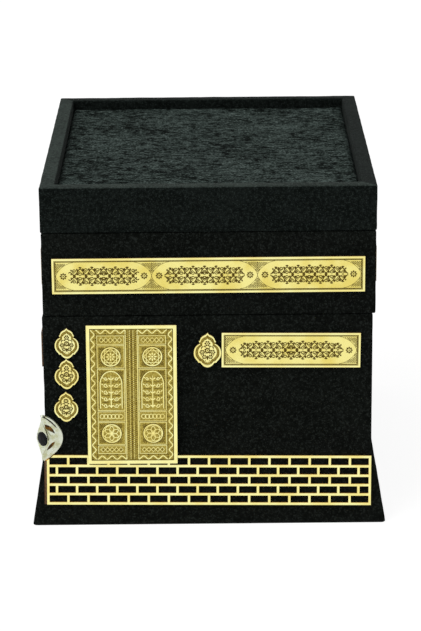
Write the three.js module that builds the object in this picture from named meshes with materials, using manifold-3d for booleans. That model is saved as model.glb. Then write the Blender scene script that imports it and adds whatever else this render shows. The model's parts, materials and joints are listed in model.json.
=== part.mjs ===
// Velvet-covered box in three tiers: a tall lower case on a flared plinth, a shallow upper case
// that lifts off it, and a lid with a sunken padded top that is hinged to the upper case.
// Gilt plates and brick lattices are glued to the velvet, and a silver ornament with a dark
// stone sits on the front left corner.
// Millimetres, +Z up, front toward -Y, origin at the centre of the footprint.
import * as THREE from 'three';
import { mergeGeometries, mergeVertices } from 'three/addons/utils/BufferGeometryUtils.js';
import Module from 'manifold-3d';

const wasm = await Module();
wasm.setup();

// Outside sizes over the velvet: half width and half depth of each tier
const lidHalf = [110.3, 132];
const upperHalf = [109.95, 131.7];
const lowerHalf = [109.5, 131.5];
const upperShift = 1.3; // the loose upper case sits this far to the right
const totalHeight = 233;
const lidHeight = 30.6;
const upperHeight = 56.7;
const seam = 0.4; // the velvet piles meet in this gap
const plinthTop = 56.6;
const plinthFlare = 9.4; // how far the plinth stands out at its foot

// Heights of the tiers
const lidLow = totalHeight - lidHeight;
const upperHigh = lidLow - seam;
const upperLow = upperHigh - upperHeight;
const lowerHigh = upperLow - seam;

// Make-up of the walls
const velvet = 1; // cloth with its glue
const board = 8; // wall boards
const glue = 0.05; // hair gap between cloth and board
const gap = 0.3; // gap between pieces that lie on a slope or in a hole
const wall = board + velvet; // from the outside to the inner face of a board
const cornerRadius = 2;
const baseSheet = 1; // lining paper under the base
const sheetInset = 0.6; // it stops short of the foot by this
const bottomBoard = 6;
const upperFloor = 5;
const trayFloor = 2; // velvet-covered card in each tray
const locatingDepth = 8; // board under the upper case that drops into the lower one
const locatingSlack = 1.5;

// Lid
const recessDepth = 11; // from the rim down to the panel
const panelBoard = 5;
const padThickness = 4;
const padCrown = 1.1;
const padSideDraw = 1.2;
const padSlack = 0.4;

// Plates
const plate = 1.5;
const plateBorder = 2.6; // raised border round each plate
const borderRise = 0.3;
const bandHeight = 24.2;
const bandFrontWidth = 206;
const bandSideWidth = 220;
const bandCentreZ = 173.2;
const bandCentreX = -0.3; // measured from the middle of the upper case
const cartoucheSize = [92.2, 24.1];
const cartoucheCentre = [55.4, 120.7];
const cartoucheSlant = THREE.MathUtils.degToRad(-0.6); // the plates were glued slightly askew
const sideCartoucheCentre = [71, 117.4]; // near the front corner of the left side
const medallionHeight = 24.3;
const smallMedallionScale = 0.878;
const smallMedallions = [[-93.4, 126.9], [-94, 105.4], [-94.9, 82.3]];
const largeMedallion = [-0.1, 121.3];
const doorSize = [60, 96.25];
const doorFoot = [-50.7, 42.8]; // middle of the lower edge
const doorSlant = THREE.MathUtils.degToRad(-0.2);
const doorFrame = 3; // plain frame of the door plate
const doorBorder = 4; // patterned border inside the frame
const doorAstragal = 8; // strip between the two leaves

// Brick lattices on the slope, front and back
const latticeRows = 5;
const latticeLine = 1.6;
const latticePitch = 6.44;
const latticeWidth = 218;
const latticeCentreX = 0.1;
const latticeDown = 26.8; // from the top of the slope to the middle of the lattice
const latticeSlant = THREE.MathUtils.degToRad(-0.63);
const bricks = 16;
const shortBrick = 0.434; // part of a brick at the left end of every second row

// Corner ornament. Heights are measured from ornamentCentreZ, and distances along the diagonal
// from the corner where the backs of its two wings meet.
const ornamentCentreZ = 60;
const ornamentTop = 16.2;
const ornamentFoot = -16.5;
const ornamentReach = 12.55;
const ornamentWaist = 0.6; // height of its widest point
const ornamentThick = 2.1;
const ornamentStandOff = 0.5; // out from each wall
const shoulderTips = [12.7, -12.5]; // from here the ridge spreads out to the bezel
const bezelCentre = -0.45;
const bezelFace = 2; // along the diagonal
const bezelRadius = 6.1;
const bezelWall = 0.5; // straight edge of the bezel, before it narrows behind
const bezelDepth = 2.5; // the narrowing part, at 45 degrees
const stoneRadius = 4.8;
const stoneEdge = 0.4;
const stoneDome = 1.2; // its edge and dome together
const stoneSeat = 0.3; // how far the stone's edge sits below the bezel's face
const wellHeight = 4; // clear of everything in front of the stone
const notchRoom = 0.6; // between the ornament and the corner cut from the lattice
const notchBack = 8; // the cut runs this far past the corner

// Hinges
const hingeX = 62;
const hingeWidth = 22;
const knuckleRadius = 2.2;
const pinRadius = 0.8;
const pinHead = [1.6, 0.8]; // radius and thickness
const pinPlay = 0.2; // from a knuckle's end to the pin's head
const leaf = 1.2;
const leafStart = 2.6; // from the pin to the near edge of a leaf's plate
const leafHeight = 12.2;
const knuckleOuter = 6.9; // length of each of the two outer knuckles
const webStart = 0.6; // from the pin to the near edge of a knuckle's web
const webExtra = 0.9; // the web is thicker than the leaf by this
const screwSpread = 6.5;
const screwRow = 9.4; // from the pin to the screws
const screwRadius = 0.9;
const screwHole = 1.2;
const screwPoint = 2; // length of its point
const screwHead = [1.9, 1.1]; // radius and height
const screwLength = 8;
const boreFloor = 1.6; // wood left between a screw's hole and the lining
const pinY = lidHalf[1] + knuckleRadius + 0.4;
const pinZ = (lidLow + upperHigh) / 2;

const finish = (colour, roughness, metalness = 0) =>
  new THREE.MeshStandardMaterial({ color: colour, roughness, metalness });
const black = finish(0x141714, 0.95);
const crushed = finish(0x2c3532, 0.8);
const fibreboard = finish(0x9a7a55, 0.8);
const gilt = finish(0xe6d88c, 0.3, 0.9);
const silver = finish(0xb9bdae, 0.35, 0.9);
const stone = finish(0x2a2f36, 0.15);
const brass = finish(0xb9974e, 0.35, 0.9);
const paper = finish(0x1c1c1c, 0.9);

// Joining and cutting closed solids
function solid(geometry) {
  const bare = new THREE.BufferGeometry();
  bare.setAttribute('position', geometry.attributes.position.clone());
  if (geometry.index) bare.setIndex(geometry.index.clone());
  const merged = mergeVertices(bare, 1e-4);
  return new wasm.Manifold(new wasm.Mesh({
    numProp: 3,
    vertProperties: new Float32Array(merged.attributes.position.array),
    triVerts: new Uint32Array(merged.index.array),
  }));
}

function geometryOf(shape) {
  const { vertProperties, triVerts } = shape.getMesh();
  const indexed = new THREE.BufferGeometry();
  indexed.setAttribute('position', new THREE.BufferAttribute(new Float32Array(vertProperties), 3));
  indexed.setIndex(new THREE.BufferAttribute(new Uint32Array(triVerts), 1));
  const loose = indexed.toNonIndexed();
  loose.computeVertexNormals();
  return loose;
}

function cut(geometry, ...tools) {
  return geometryOf(tools.reduce((body, tool) => body.subtract(solid(tool)), solid(geometry)));
}

function join(first, ...others) {
  return geometryOf(others.reduce((body, other) => body.add(solid(other)), solid(first)));
}

// Moves each vertex of a geometry to the place that a function gives
function reshape(geometry, place) {
  const position = geometry.attributes.position;
  for (let i = 0; i < position.count; i += 1) {
    position.setXYZ(i, ...place(position.getX(i), position.getY(i), position.getZ(i)));
  }
  geometry.computeVertexNormals();
  return geometry;
}

// A box between two corners, whose faces lie on exactly these numbers
function box(low, high) {
  const pick = (value, axis) => (value < 0 ? low[axis] : high[axis]);
  return reshape(new THREE.BoxGeometry(1, 1, 1), (x, y, z) => [pick(x, 0), pick(y, 1), pick(z, 2)]);
}

// A box round the Z axis, its sides moved in by inset
function block(half, inset, low, high) {
  const [x, y] = half.map((size) => size - inset);
  return box([-x, -y, low], [x, y, high]);
}

function rectangle(width, height, radius = 0) {
  const [x, y] = [width / 2, height / 2];
  const shape = new THREE.Shape();
  if (radius === 0) {
    shape.moveTo(-x, -y).lineTo(x, -y).lineTo(x, y).lineTo(-x, y);
    return shape;
  }
  shape.absarc(x - radius, -y + radius, radius, -Math.PI / 2, 0);
  shape.absarc(x - radius, y - radius, radius, 0, Math.PI / 2);
  shape.absarc(-x + radius, y - radius, radius, Math.PI / 2, Math.PI);
  shape.absarc(-x + radius, -y + radius, radius, Math.PI, Math.PI * 1.5);
  return shape;
}

function extrude(shape, depth, options = {}) {
  return new THREE.ExtrudeGeometry(shape, { depth, bevelEnabled: false, curveSegments: 3, ...options });
}

// A block with rounded upright corners
function roundedBlock(half, low, high) {
  const geometry = extrude(rectangle(2 * half[0], 2 * half[1], cornerRadius), 1);
  return reshape(geometry, (x, y, z) => [x, y, z < 0.5 ? low : high]);
}

// How far the outside of the plinth stands out at a height
const flareAt = (z) => (plinthFlare * (plinthTop - z)) / (plinthTop - baseSheet);

// The lower case with its flared plinth, its sides moved out by grow
function flaredBlock(grow, radius, low, middle, high) {
  const size = lowerHalf.map((half) => 2 * (half + grow));
  const geometry = extrude(rectangle(...size, radius), 2, { steps: 2 });
  return reshape(geometry, (x, y, z) => {
    if (z > 1.5) return [x, y, high];
    if (z > 0.5) return [x, y, middle];
    const out = flareAt(low);
    return [x + Math.sign(x) * out, y + Math.sign(y) * out, low];
  });
}

function piece(name, geometry, material) {
  const mesh = new THREE.Mesh(geometry, material);
  mesh.name = name;
  return mesh;
}

// A group whose front is turned to one side of the box
const turns = { front: 0, right: Math.PI / 2, back: Math.PI, left: -Math.PI / 2 };
function facing(side) {
  const group = new THREE.Group();
  group.rotation.z = turns[side];
  return group;
}

// Half width across a side and half depth behind it
const across = (half, side) => (side === 'front' || side === 'back' ? half : [half[1], half[0]]);

// Boards and cloth of a tier

// Four wall boards: the front and back run the whole width and the sides stand between them.
// holes are the screw holes in the back board, each at an x and a z.
function wallBoards(prefix, half, low, high, holes = []) {
  const [x, y] = half.map((size) => size - velvet);
  const [inX, inY] = half.map((size) => size - wall);
  const bores = holes.map(([holeX, holeZ]) => bore(holeX, holeZ, inY + boreFloor, y + 1));
  const back = box([-x, inY, low], [x, y, high]);
  return [
    piece(`${prefix}_front`, box([-x, -y, low], [x, -inY, high]), fibreboard),
    piece(`${prefix}_back`, bores.length ? cut(back, ...bores) : back, fibreboard),
    piece(`${prefix}_left`, box([-x, -inY, low], [-inX, inY, high]), fibreboard),
    piece(`${prefix}_right`, box([inX, -inY, low], [x, inY, high]), fibreboard),
  ];
}

// A screw's round hole along Y at an x and a z, from low to high
function bore(x, z, low, high) {
  const geometry = new THREE.CylinderGeometry(screwHole, screwHole, high - low, 12);
  return geometry.translate(x, (low + high) / 2, z);
}

// Cloth over the outside of four boards, turned over their upper and lower edges
function skinSolid(half, low, high) {
  const lap = velvet - glue;
  return cut(
    roundedBlock(half, low, high),
    block(half, lap, low + lap, high - lap),
    block(half, wall - glue, low - 1, high + 1),
  );
}

// A tray of velvet-covered card, open at the top
function tray(half, low, floor, high) {
  return cut(block(half, wall + glue, low, high), block(half, wall + velvet, low + floor, high + 1));
}

// Plates

// A flat plate with a raised border, its back on the XY plane
function borderedPlate(width, height, border = plateBorder) {
  const frame = rectangle(width, height);
  frame.holes.push(rectangle(width - 2 * border, height - 2 * border));
  const rim = extrude(frame, plate);
  return join(extrude(rectangle(width, height), plate - borderRise), rim);
}

// The door plate: a framed pair of leaves with a strip down the middle
function doorPlate() {
  const [width, height] = doorSize;
  const astragal = extrude(rectangle(doorAstragal, height - 2 * (doorFrame + doorBorder)), plate);
  return join(borderedPlate(width, height, doorFrame), astragal);
}

// A pointed medallion: an ogee tip, an upper lobe, a wide body and a lower lobe, with a small
// tooth at the foot of the upper lobe and of the body
function medallion(scale = 1) {
  const top = medallionHeight / 2;
  const rightHalf = new THREE.Path();
  rightHalf.moveTo(0, top);
  rightHalf.quadraticCurveTo(0.7, 10.9, 1.65, 10.45);
  rightHalf.bezierCurveTo(3.3, 9.9, 4.7, 8.6, 4.9, 7.1);
  rightHalf.quadraticCurveTo(5.1, 6.5, 5.75, 5.97);
  rightHalf.quadraticCurveTo(5.2, 5.4, 5, 4.5);
  rightHalf.bezierCurveTo(8.4, 2.9, 9.1, 0.2, 9.1, -2.4);
  rightHalf.bezierCurveTo(9.1, -6, 6.6, -7.2, 5.8, -8.95);
  rightHalf.quadraticCurveTo(5.1, -8.7, 4.6, -8.95);
  rightHalf.bezierCurveTo(4, -9.9, 2.6, -12, 0, -top);
  const down = rightHalf.getPoints(5);
  const up = down.slice(1, -1).reverse().map((point) => new THREE.Vector2(-point.x, point.y));
  const outline = [...down, ...up].reverse().map((point) => point.multiplyScalar(scale));
  return extrude(new THREE.Shape(outline), plate);
}

// A flat lattice of running-bond bricks, centred on the XY plane
function brickLattice() {
  const width = latticeWidth;
  const height = latticeRows * latticePitch + latticeLine;
  const full = (width - latticeLine) / bricks - latticeLine;
  const [left, right] = [shortBrick, 1 - shortBrick].map((part) => (full + latticeLine) * part - latticeLine);
  const openings = [];
  for (let row = 0; row < latticeRows; row += 1) {
    const lengths = row % 2 === 0
      ? Array(bricks).fill(full)
      : [left, ...Array(bricks - 1).fill(full), right];
    const low = -height / 2 + latticeLine + row * latticePitch;
    const high = low + latticePitch - latticeLine;
    let x = -width / 2 + latticeLine;
    for (const length of lengths) {
      openings.push(box([x, low, -1], [x + length, high, plate + 1]));
      x += length + latticeLine;
    }
  }
  return cut(box([-width / 2, -height / 2, 0], [width / 2, height / 2, plate]), mergeGeometries(openings));
}

// Stands a plate on an upright wall: its back gap away from the cloth at depth wallY
function onWall(mesh, wallY, x, z, slant = 0) {
  const upright = new THREE.Group();
  upright.rotation.x = Math.PI / 2;
  upright.position.set(x, -(wallY + gap), z);
  mesh.rotation.z = slant;
  upright.add(mesh);
  return upright;
}

// Lays a lattice on the slope of one side
const slope = Math.atan2(plinthFlare, plinthTop - baseSheet);
function onSlope(mesh, side, x, slant) {
  const [, depth] = across(lowerHalf, side);
  const sloped = new THREE.Group();
  sloped.rotation.x = Math.PI / 2 - slope;
  sloped.position.set(0, -depth, plinthTop);
  mesh.position.set(x, -latticeDown, gap);
  mesh.rotation.z = slant;
  sloped.add(mesh);
  const turned = facing(side);
  turned.add(sloped);
  return turned;
}

// A solid wedge behind the cloth of the plinth, mitred at both ends
function plinthWedge(side) {
  const [halfWidth, depth] = across(lowerHalf, side);
  const inner = -velvet + glue;
  const foot = plinthFlare - velvet - gap;
  const tip = inner + gap; // the wedge's thin upper edge
  const rise = (plinthTop - baseSheet) / plinthFlare;
  const high = baseSheet + (foot - tip) * rise;
  const section = new THREE.Shape();
  section.moveTo(inner, baseSheet).lineTo(foot, baseSheet).lineTo(tip, high).lineTo(inner, high);
  const wedge = reshape(extrude(section, 1), (out, z, along) => [
    (1 - 2 * along) * (halfWidth + out - gap), -(depth + out), z,
  ]);
  const turned = facing(side);
  turned.add(piece(`plinth_wedge_${side}`, wedge, fibreboard));
  return turned;
}

// Corner ornament

// Half of a pointed oval that reaches from the corner along one wall
function wingOutline(grow = 0, back = ornamentThick) {
  const top = ornamentTop + grow;
  const foot = ornamentFoot - grow;
  const reach = ornamentReach + grow;
  const outline = new THREE.Shape();
  outline.moveTo(-back, top - 1.8);
  outline.lineTo(-1, top);
  outline.bezierCurveTo(reach * 0.33, top, reach, top * 0.53, reach, ornamentWaist);
  outline.bezierCurveTo(reach, foot * 0.42, reach * 0.37, foot * 0.78, -0.5, foot);
  outline.lineTo(-back, foot + 2.2);
  return outline;
}

function wing() {
  // An opening round a small tongue above, and a lens below
  const bend = new THREE.Shape();
  bend.moveTo(0.2, 10.2);
  bend.quadraticCurveTo(5.4, 9.6, 7.3, 3.5);
  bend.quadraticCurveTo(4.1, 5, 1.2, 6.8);
  bend.quadraticCurveTo(2.2, 3.4, 3.2, 0.4);
  bend.lineTo(2.6, -0.3);
  bend.quadraticCurveTo(1.6, 3, 0.2, 10.2);
  const lens = new THREE.Shape();
  lens.moveTo(6.9, -2.1);
  lens.quadraticCurveTo(6.4, -5.8, 1.3, -8.5);
  lens.quadraticCurveTo(3, -3.4, 6.9, -2.1);
  const round = { curveSegments: 8 };
  const openings = [bend, lens].map((shape) => extrude(shape, ornamentThick + 2, round).translate(0, 0, -1));
  return cut(extrude(wingOutline(), ornamentThick, round), ...openings).rotateX(Math.PI / 2);
}

// The same wing for the left wall: mirrored, then turned round the corner
function leftWing() {
  const mirrored = reshape(wing(), (x, y, z) => [-x, y, z]);
  return flip(mirrored).rotateZ(-Math.PI / 2);
}

// Turns every triangle over, for a mirrored geometry
function flip(geometry) {
  const loose = geometry.index ? geometry.toNonIndexed() : geometry;
  const { array } = loose.attributes.position;
  for (let i = 0; i < array.length; i += 9) {
    for (let k = 0; k < 3; k += 1) {
      [array[i + 3 + k], array[i + 6 + k]] = [array[i + 6 + k], array[i + 3 + k]];
    }
  }
  loose.computeVertexNormals();
  return loose;
}

// Turns a round profile of radii and distances to look out of the corner at the stone's height
function outOfCorner(profile, segments = 28) {
  const points = profile.map(([radius, along]) => new THREE.Vector2(radius, along));
  return new THREE.LatheGeometry(points, segments)
    .rotateZ(Math.PI / 2)
    .rotateZ(Math.PI / 4)
    .translate(0, 0, bezelCentre);
}

// A disc that looks out of the corner, from one distance along the diagonal to another
const cornerDisc = (radius, from, to) => outOfCorner([[0, from], [radius, from], [radius, to], [0, to]]);

// The dark stone: a low dome on a short straight edge
function cabochon(seat) {
  const steps = 4;
  const profile = [[0, seat], [stoneRadius, seat]];
  for (let i = 0; i <= steps; i += 1) {
    const angle = (i / steps) * (Math.PI / 2);
    const radius = i === steps ? 0 : stoneRadius * Math.cos(angle);
    profile.push([radius, seat + stoneEdge + (stoneDome - stoneEdge) * Math.sin(angle)]);
  }
  return outOfCorner(profile);
}

// The bezel, and the shoulders that spread from the ridge to its edge above and below
function shoulders() {
  const bezel = outOfCorner([
    [0, bezelFace - bezelWall - bezelDepth],
    [bezelRadius - bezelDepth, bezelFace - bezelWall - bezelDepth],
    [bezelRadius, bezelFace - bezelWall],
    [bezelRadius, bezelFace],
    [0, bezelFace],
  ]);
  const ridge = glue - ornamentThick; // just inside the wings' outer edge
  return shoulderTips.map((height) => geometryOf(
    wasm.Manifold.hull([solid(bezel), solid(box([ridge, ridge, height], [0, 0, height + glue]))]),
  ));
}

function cornerOrnament() {
  const seat = bezelFace - stoneSeat;
  const place = new THREE.Group();
  place.position.set(
    -lowerHalf[0] - ornamentStandOff,
    -lowerHalf[1] - ornamentStandOff,
    ornamentCentreZ,
  );
  place.updateMatrixWorld();

  const boxRoom = flaredBlock(gap, 0, 0, plinthTop, lowerHigh);
  boxRoom.applyMatrix4(place.matrixWorld.clone().invert());
  const room = [
    boxRoom,
    cornerDisc(bezelRadius, bezelFace, bezelFace + wellHeight),
    cornerDisc(stoneRadius + gap, seat - gap, seat + wellHeight),
  ];
  const frame = cut(join(wing(), leftWing(), ...shoulders()), ...room);
  place.add(piece('corner_ornament_frame', frame, silver));
  place.add(piece('corner_ornament_stone', cabochon(seat), stone));
  return place;
}

// The corner of the front lattice that makes room for the ornament
function latticeNotch() {
  const outline = wingOutline(notchRoom, notchBack);
  const notch = extrude(outline, 3 * plate, { curveSegments: 8 }).translate(0, 0, -plate);
  const upSlope = (ornamentCentreZ - plinthTop) / Math.cos(slope) + latticeDown;
  const notchX = -lowerHalf[0] - ornamentStandOff - latticeCentreX;
  return notch.translate(notchX, upSlope, 0).rotateZ(-latticeSlant);
}

// Hinges

// A knuckle round the pin, with the web that joins it to a leaf. up is 1 or -1.
function knuckle(low, high, wallY, up) {
  const barrel = new THREE.CylinderGeometry(knuckleRadius, knuckleRadius, high - low, 16);
  barrel.rotateZ(Math.PI / 2).translate((low + high) / 2, pinY, pinZ);
  const ends = [pinZ + up * webStart, pinZ + up * (leafStart + webStart)];
  const web = box([low, wallY, Math.min(...ends)], [high, wallY + leaf + webExtra, Math.max(...ends)]);
  return join(barrel, web);
}

// Whole leaf: a plate on the back face, its knuckles, the pin's bore and the screw holes
function hingeLeaf(x, wallY, up) {
  const half = hingeWidth / 2;
  const near = pinZ + up * leafStart;
  const far = pinZ + up * (leafStart + leafHeight);
  const plateBox = box(
    [x - half, wallY, Math.min(near, far)],
    [x + half, wallY + leaf, Math.max(near, far)],
  );
  const ends = up > 0
    ? [[x - half + knuckleOuter + gap, x + half - knuckleOuter - gap]]
    : [[x - half, x - half + knuckleOuter], [x + half - knuckleOuter, x + half]];
  const knuckles = ends.map(([low, high]) => knuckle(low, high, wallY, up));
  const pinBore = new THREE.CylinderGeometry(pinRadius + gap, pinRadius + gap, hingeWidth + 4, 12);
  pinBore.rotateZ(Math.PI / 2).translate(x, pinY, pinZ);
  const bores = screwPlaces(x, up).map(([sx, sz]) => bore(sx, sz, wallY - 1, wallY + leaf + 1));
  return cut(join(plateBox, ...knuckles), pinBore, ...bores);
}

const screwPlaces = (x, up) => [-1, 1].map((side) => [x + side * screwSpread, pinZ + up * screwRow]);

// A pin with a small head at each end
function hingePin(x) {
  const [head, thick] = pinHead;
  const half = hingeWidth / 2 + pinPlay;
  const end = half + thick;
  const profile = [
    [0, -end], [head, -end], [head, -half], [pinRadius, -half],
    [pinRadius, half], [head, half], [head, end], [0, end],
  ].map(([r, along]) => new THREE.Vector2(r, along));
  return new THREE.LatheGeometry(profile, 12).rotateZ(-Math.PI / 2).translate(x, pinY, pinZ);
}

// A round-headed screw that points into the back board
function screw() {
  const [head, rise] = screwHead;
  const profile = [
    [0, -screwLength], [screwRadius, -screwLength + screwPoint], [screwRadius, 0],
    [head, 0], [head * 0.85, rise * 0.55], [head * 0.45, rise * 0.9], [0, rise],
  ].map(([r, along]) => new THREE.Vector2(r, along));
  return new THREE.LatheGeometry(profile, 12);
}

function screws(prefix, x, wallY, up) {
  return screwPlaces(x, up).map(([sx, sz], i) => {
    const mesh = piece(`${prefix}_screw_${i + 1}`, screw(), brass);
    mesh.position.set(sx, wallY + leaf, sz);
    return mesh;
  });
}

const hingeSides = { left: -hingeX, right: hingeX };
const backHoles = (up) => Object.values(hingeSides).flatMap((x) => screwPlaces(x, up));
const clothHoles = (half, up) => backHoles(up).map(([x, z]) => bore(x, z, half[1] - 2, half[1] + 1));

// Lower case
function lowerCase() {
  const group = new THREE.Group();
  group.name = 'lower_case';
  const low = baseSheet;
  const lap = velvet - glue;
  group.add(...wallBoards('lower_wall', lowerHalf, low, lowerHigh - velvet));
  group.add(piece('lower_bottom_board', block(lowerHalf, wall, low, low + bottomBoard), fibreboard));
  const cloth = cut(
    flaredBlock(0, cornerRadius, low, plinthTop, lowerHigh),
    flaredBlock(-lap, 0, low - 1, plinthTop - gap, lowerHigh - lap),
    block(lowerHalf, wall - glue, low - 2, lowerHigh + 1),
  );
  group.add(piece('lower_outer_velvet', cloth, black));
  const floorLow = low + bottomBoard + glue;
  group.add(piece('lower_lining_tray', tray(lowerHalf, floorLow, trayFloor, lowerHigh), black));
  const sheetHalf = lowerHalf.map((half) => half + plinthFlare - sheetInset);
  group.add(piece('base_sheet', roundedBlock(sheetHalf, 0, baseSheet), paper));
  for (const side of Object.keys(turns)) group.add(plinthWedge(side));
  group.add(...lowerPlates(), ...lattices(), cornerOrnament());
  return group;
}

function lowerPlates() {
  const depth = lowerHalf[1];
  const cartouche = () => borderedPlate(...cartoucheSize);
  const placed = [
    onWall(piece('cartouche_plate_front', cartouche(), gilt), depth, ...cartoucheCentre, cartoucheSlant),
    onWall(piece('medallion_right', medallion(), gilt), depth, ...largeMedallion, cartoucheSlant),
  ];
  const names = ['top', 'middle', 'bottom'];
  smallMedallions.forEach((centre, i) => {
    const mesh = piece(`medallion_left_${names[i]}`, medallion(smallMedallionScale), gilt);
    placed.push(onWall(mesh, depth, ...centre));
  });
  const side = facing('left');
  const sidePlate = piece('cartouche_plate_left', cartouche(), gilt);
  side.add(onWall(sidePlate, lowerHalf[0], ...sideCartoucheCentre));
  placed.push(side, leaningDoor());
  return placed;
}

// The door plate stands with its head against the wall and its foot over the front lattice
function leaningDoor() {
  const [, height] = doorSize;
  const footOut = flareAt(doorFoot[1]) + (plate + 2 * gap) / Math.cos(slope) + gap;
  const lean = Math.asin((footOut - gap) / height);
  const hinge = new THREE.Group();
  hinge.position.set(doorFoot[0], -lowerHalf[1] - footOut, doorFoot[1]);
  hinge.rotation.x = Math.PI / 2 - lean;
  const mesh = piece('door_plate', doorPlate(), gilt);
  mesh.position.y = height / 2;
  mesh.rotation.z = doorSlant;
  hinge.add(mesh);
  return hinge;
}

function lattices() {
  const whole = brickLattice();
  const front = cut(whole, latticeNotch());
  return [
    onSlope(piece('brick_lattice_front', front, gilt), 'front', latticeCentreX, latticeSlant),
    onSlope(piece('brick_lattice_back', whole, gilt), 'back', 0, 0),
  ];
}

// Upper case
function upperCase() {
  const group = new THREE.Group();
  group.name = 'upper_case';
  group.position.x = upperShift;
  const [low, high] = [upperLow, upperHigh];
  group.add(...wallBoards('upper_wall', upperHalf, low + velvet, high - velvet, backHoles(-1)));
  group.add(piece('upper_floor_board', block(upperHalf, wall, low, low + upperFloor), fibreboard));
  const slack = wall + velvet + locatingSlack;
  group.add(piece('locating_board', block(lowerHalf, slack, low - locatingDepth, low), black));
  const cloth = cut(skinSolid(upperHalf, low, high), ...clothHoles(upperHalf, -1));
  group.add(piece('upper_outer_velvet', cloth, black));
  group.add(piece('upper_lining_tray', tray(upperHalf, low + upperFloor + glue, trayFloor, high), black));
  for (const side of Object.keys(turns)) {
    const [, depth] = across(upperHalf, side);
    const width = side === 'front' || side === 'back' ? bandFrontWidth : bandSideWidth;
    const turned = facing(side);
    const mesh = piece(`band_plate_${side}`, borderedPlate(width, bandHeight), gilt);
    turned.add(onWall(mesh, depth, side === 'front' ? bandCentreX : 0, bandCentreZ));
    group.add(turned);
  }
  for (const [side, x] of Object.entries(hingeSides)) {
    group.add(piece(`hinge_${side}_lower_leaf`, hingeLeaf(x, upperHalf[1], -1), brass));
    group.add(piece(`hinge_${side}_pin`, hingePin(x), brass));
    group.add(...screws(`hinge_${side}_lower`, x, upperHalf[1], -1));
  }
  return group;
}

// Lid
function lid() {
  const group = new THREE.Group();
  group.name = 'lid';
  group.position.x = upperShift;
  const [low, high] = [lidLow, totalHeight];
  const lap = velvet - glue;
  const panelHigh = high - recessDepth;
  const panelLow = panelHigh - panelBoard;
  group.add(...wallBoards('lid_rim', lidHalf, low + velvet, high - velvet, backHoles(1)));
  group.add(piece('lid_panel', block(lidHalf, wall, panelLow, panelHigh), fibreboard));
  const rimRoom = cut(
    block(lidHalf, lap, low + lap, high - lap),
    block(lidHalf, wall + glue, low, high),
  );
  const cloth = cut(
    roundedBlock(lidHalf, low, high),
    rimRoom,
    block(lidHalf, wall + velvet, panelHigh - 1, high + 1),
    block(lidHalf, wall - glue, low - 1, panelHigh + glue),
    ...clothHoles(lidHalf, 1),
  );
  group.add(piece('lid_outer_velvet', cloth, black));
  const lining = cut(
    block(lidHalf, wall + glue, low, panelLow - glue),
    block(lidHalf, wall + velvet, low - 1, panelLow - velvet),
  );
  group.add(piece('lid_lining', lining, black));
  group.add(piece('lid_top_pad', crownedPad(panelHigh + glue), crushed));
  for (const [side, x] of Object.entries(hingeSides)) {
    group.add(piece(`hinge_${side}_upper_leaf`, hingeLeaf(x, lidHalf[1], 1), brass));
    group.add(...screws(`hinge_${side}_upper`, x, lidHalf[1], 1));
  }
  return group;
}

// The padded top: flat below, with drawn-in sides and a low crown
function crownedPad(low) {
  const [halfX, halfY] = lidHalf.map((half) => half - wall - velvet - padSlack);
  return reshape(new THREE.BoxGeometry(2, 2, 1, 16, 18, 2), (px, py, pz) => {
    const x = Math.sin((px * Math.PI) / 2);
    const y = Math.sin((py * Math.PI) / 2);
    const up = pz + 0.5;
    const draw = padSideDraw * (2 * up - 1) ** 2 * (up > 0.5 ? 1 : 0.3);
    const crown = padCrown * (1 - x ** 4) * (1 - y ** 4) * up;
    return [x * (halfX - draw), y * (halfY - draw), low + padThickness * up + crown];
  });
}

const velvetBox = new THREE.Group();
velvetBox.name = 'velvet_box';
velvetBox.add(lowerCase(), upperCase(), lid());

export default velvetBox;
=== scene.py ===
"""Looks of a velvet-covered box in three tiers, with gilt plates and a silver corner ornament.

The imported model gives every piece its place. The classes below dress it: cloth skins with soft
edges, a crushed-velvet pad, engraved plates, brick lattices, the corner ornament and the hinges.
Lengths are in millimetres until a piece is finished, and Z is up. Engraving is drawn as strokes
in a plate's own plane, X to the right and Y up, and each stroke becomes a low ridge.
"""
import json
import logging
import math
from dataclasses import dataclass, field, replace
from enum import Enum
from typing import Callable, Iterable, NamedTuple, Sequence

import bmesh
import bpy
from mathutils import Matrix, Vector, noise
from mathutils.geometry import interpolate_bezier


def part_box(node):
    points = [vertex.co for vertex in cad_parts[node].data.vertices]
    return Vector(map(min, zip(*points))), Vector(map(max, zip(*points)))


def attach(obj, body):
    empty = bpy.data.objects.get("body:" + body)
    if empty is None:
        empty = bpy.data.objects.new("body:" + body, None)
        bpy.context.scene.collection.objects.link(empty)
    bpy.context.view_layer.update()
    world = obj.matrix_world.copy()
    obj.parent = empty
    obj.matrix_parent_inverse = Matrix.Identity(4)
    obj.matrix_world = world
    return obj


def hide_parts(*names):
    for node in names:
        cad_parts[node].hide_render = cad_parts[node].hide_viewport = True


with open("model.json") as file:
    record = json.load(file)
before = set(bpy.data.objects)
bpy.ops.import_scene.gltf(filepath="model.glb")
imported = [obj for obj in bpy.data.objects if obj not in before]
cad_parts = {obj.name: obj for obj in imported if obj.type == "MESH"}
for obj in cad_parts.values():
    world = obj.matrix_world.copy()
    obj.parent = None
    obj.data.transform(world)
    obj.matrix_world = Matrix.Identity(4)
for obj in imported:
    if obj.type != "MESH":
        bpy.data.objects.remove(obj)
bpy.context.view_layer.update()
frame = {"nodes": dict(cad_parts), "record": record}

MM = 0.001
LOG = logging.getLogger("velvet_box")

Colour = tuple[float, float, float, float]
Point = tuple[float, float]
Shares = tuple[float, ...]


class Body(str, Enum):
    """The moving bodies of the box."""

    LOWER = "lower_case"
    UPPER = "upper_case"
    LID = "lid"


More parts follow.
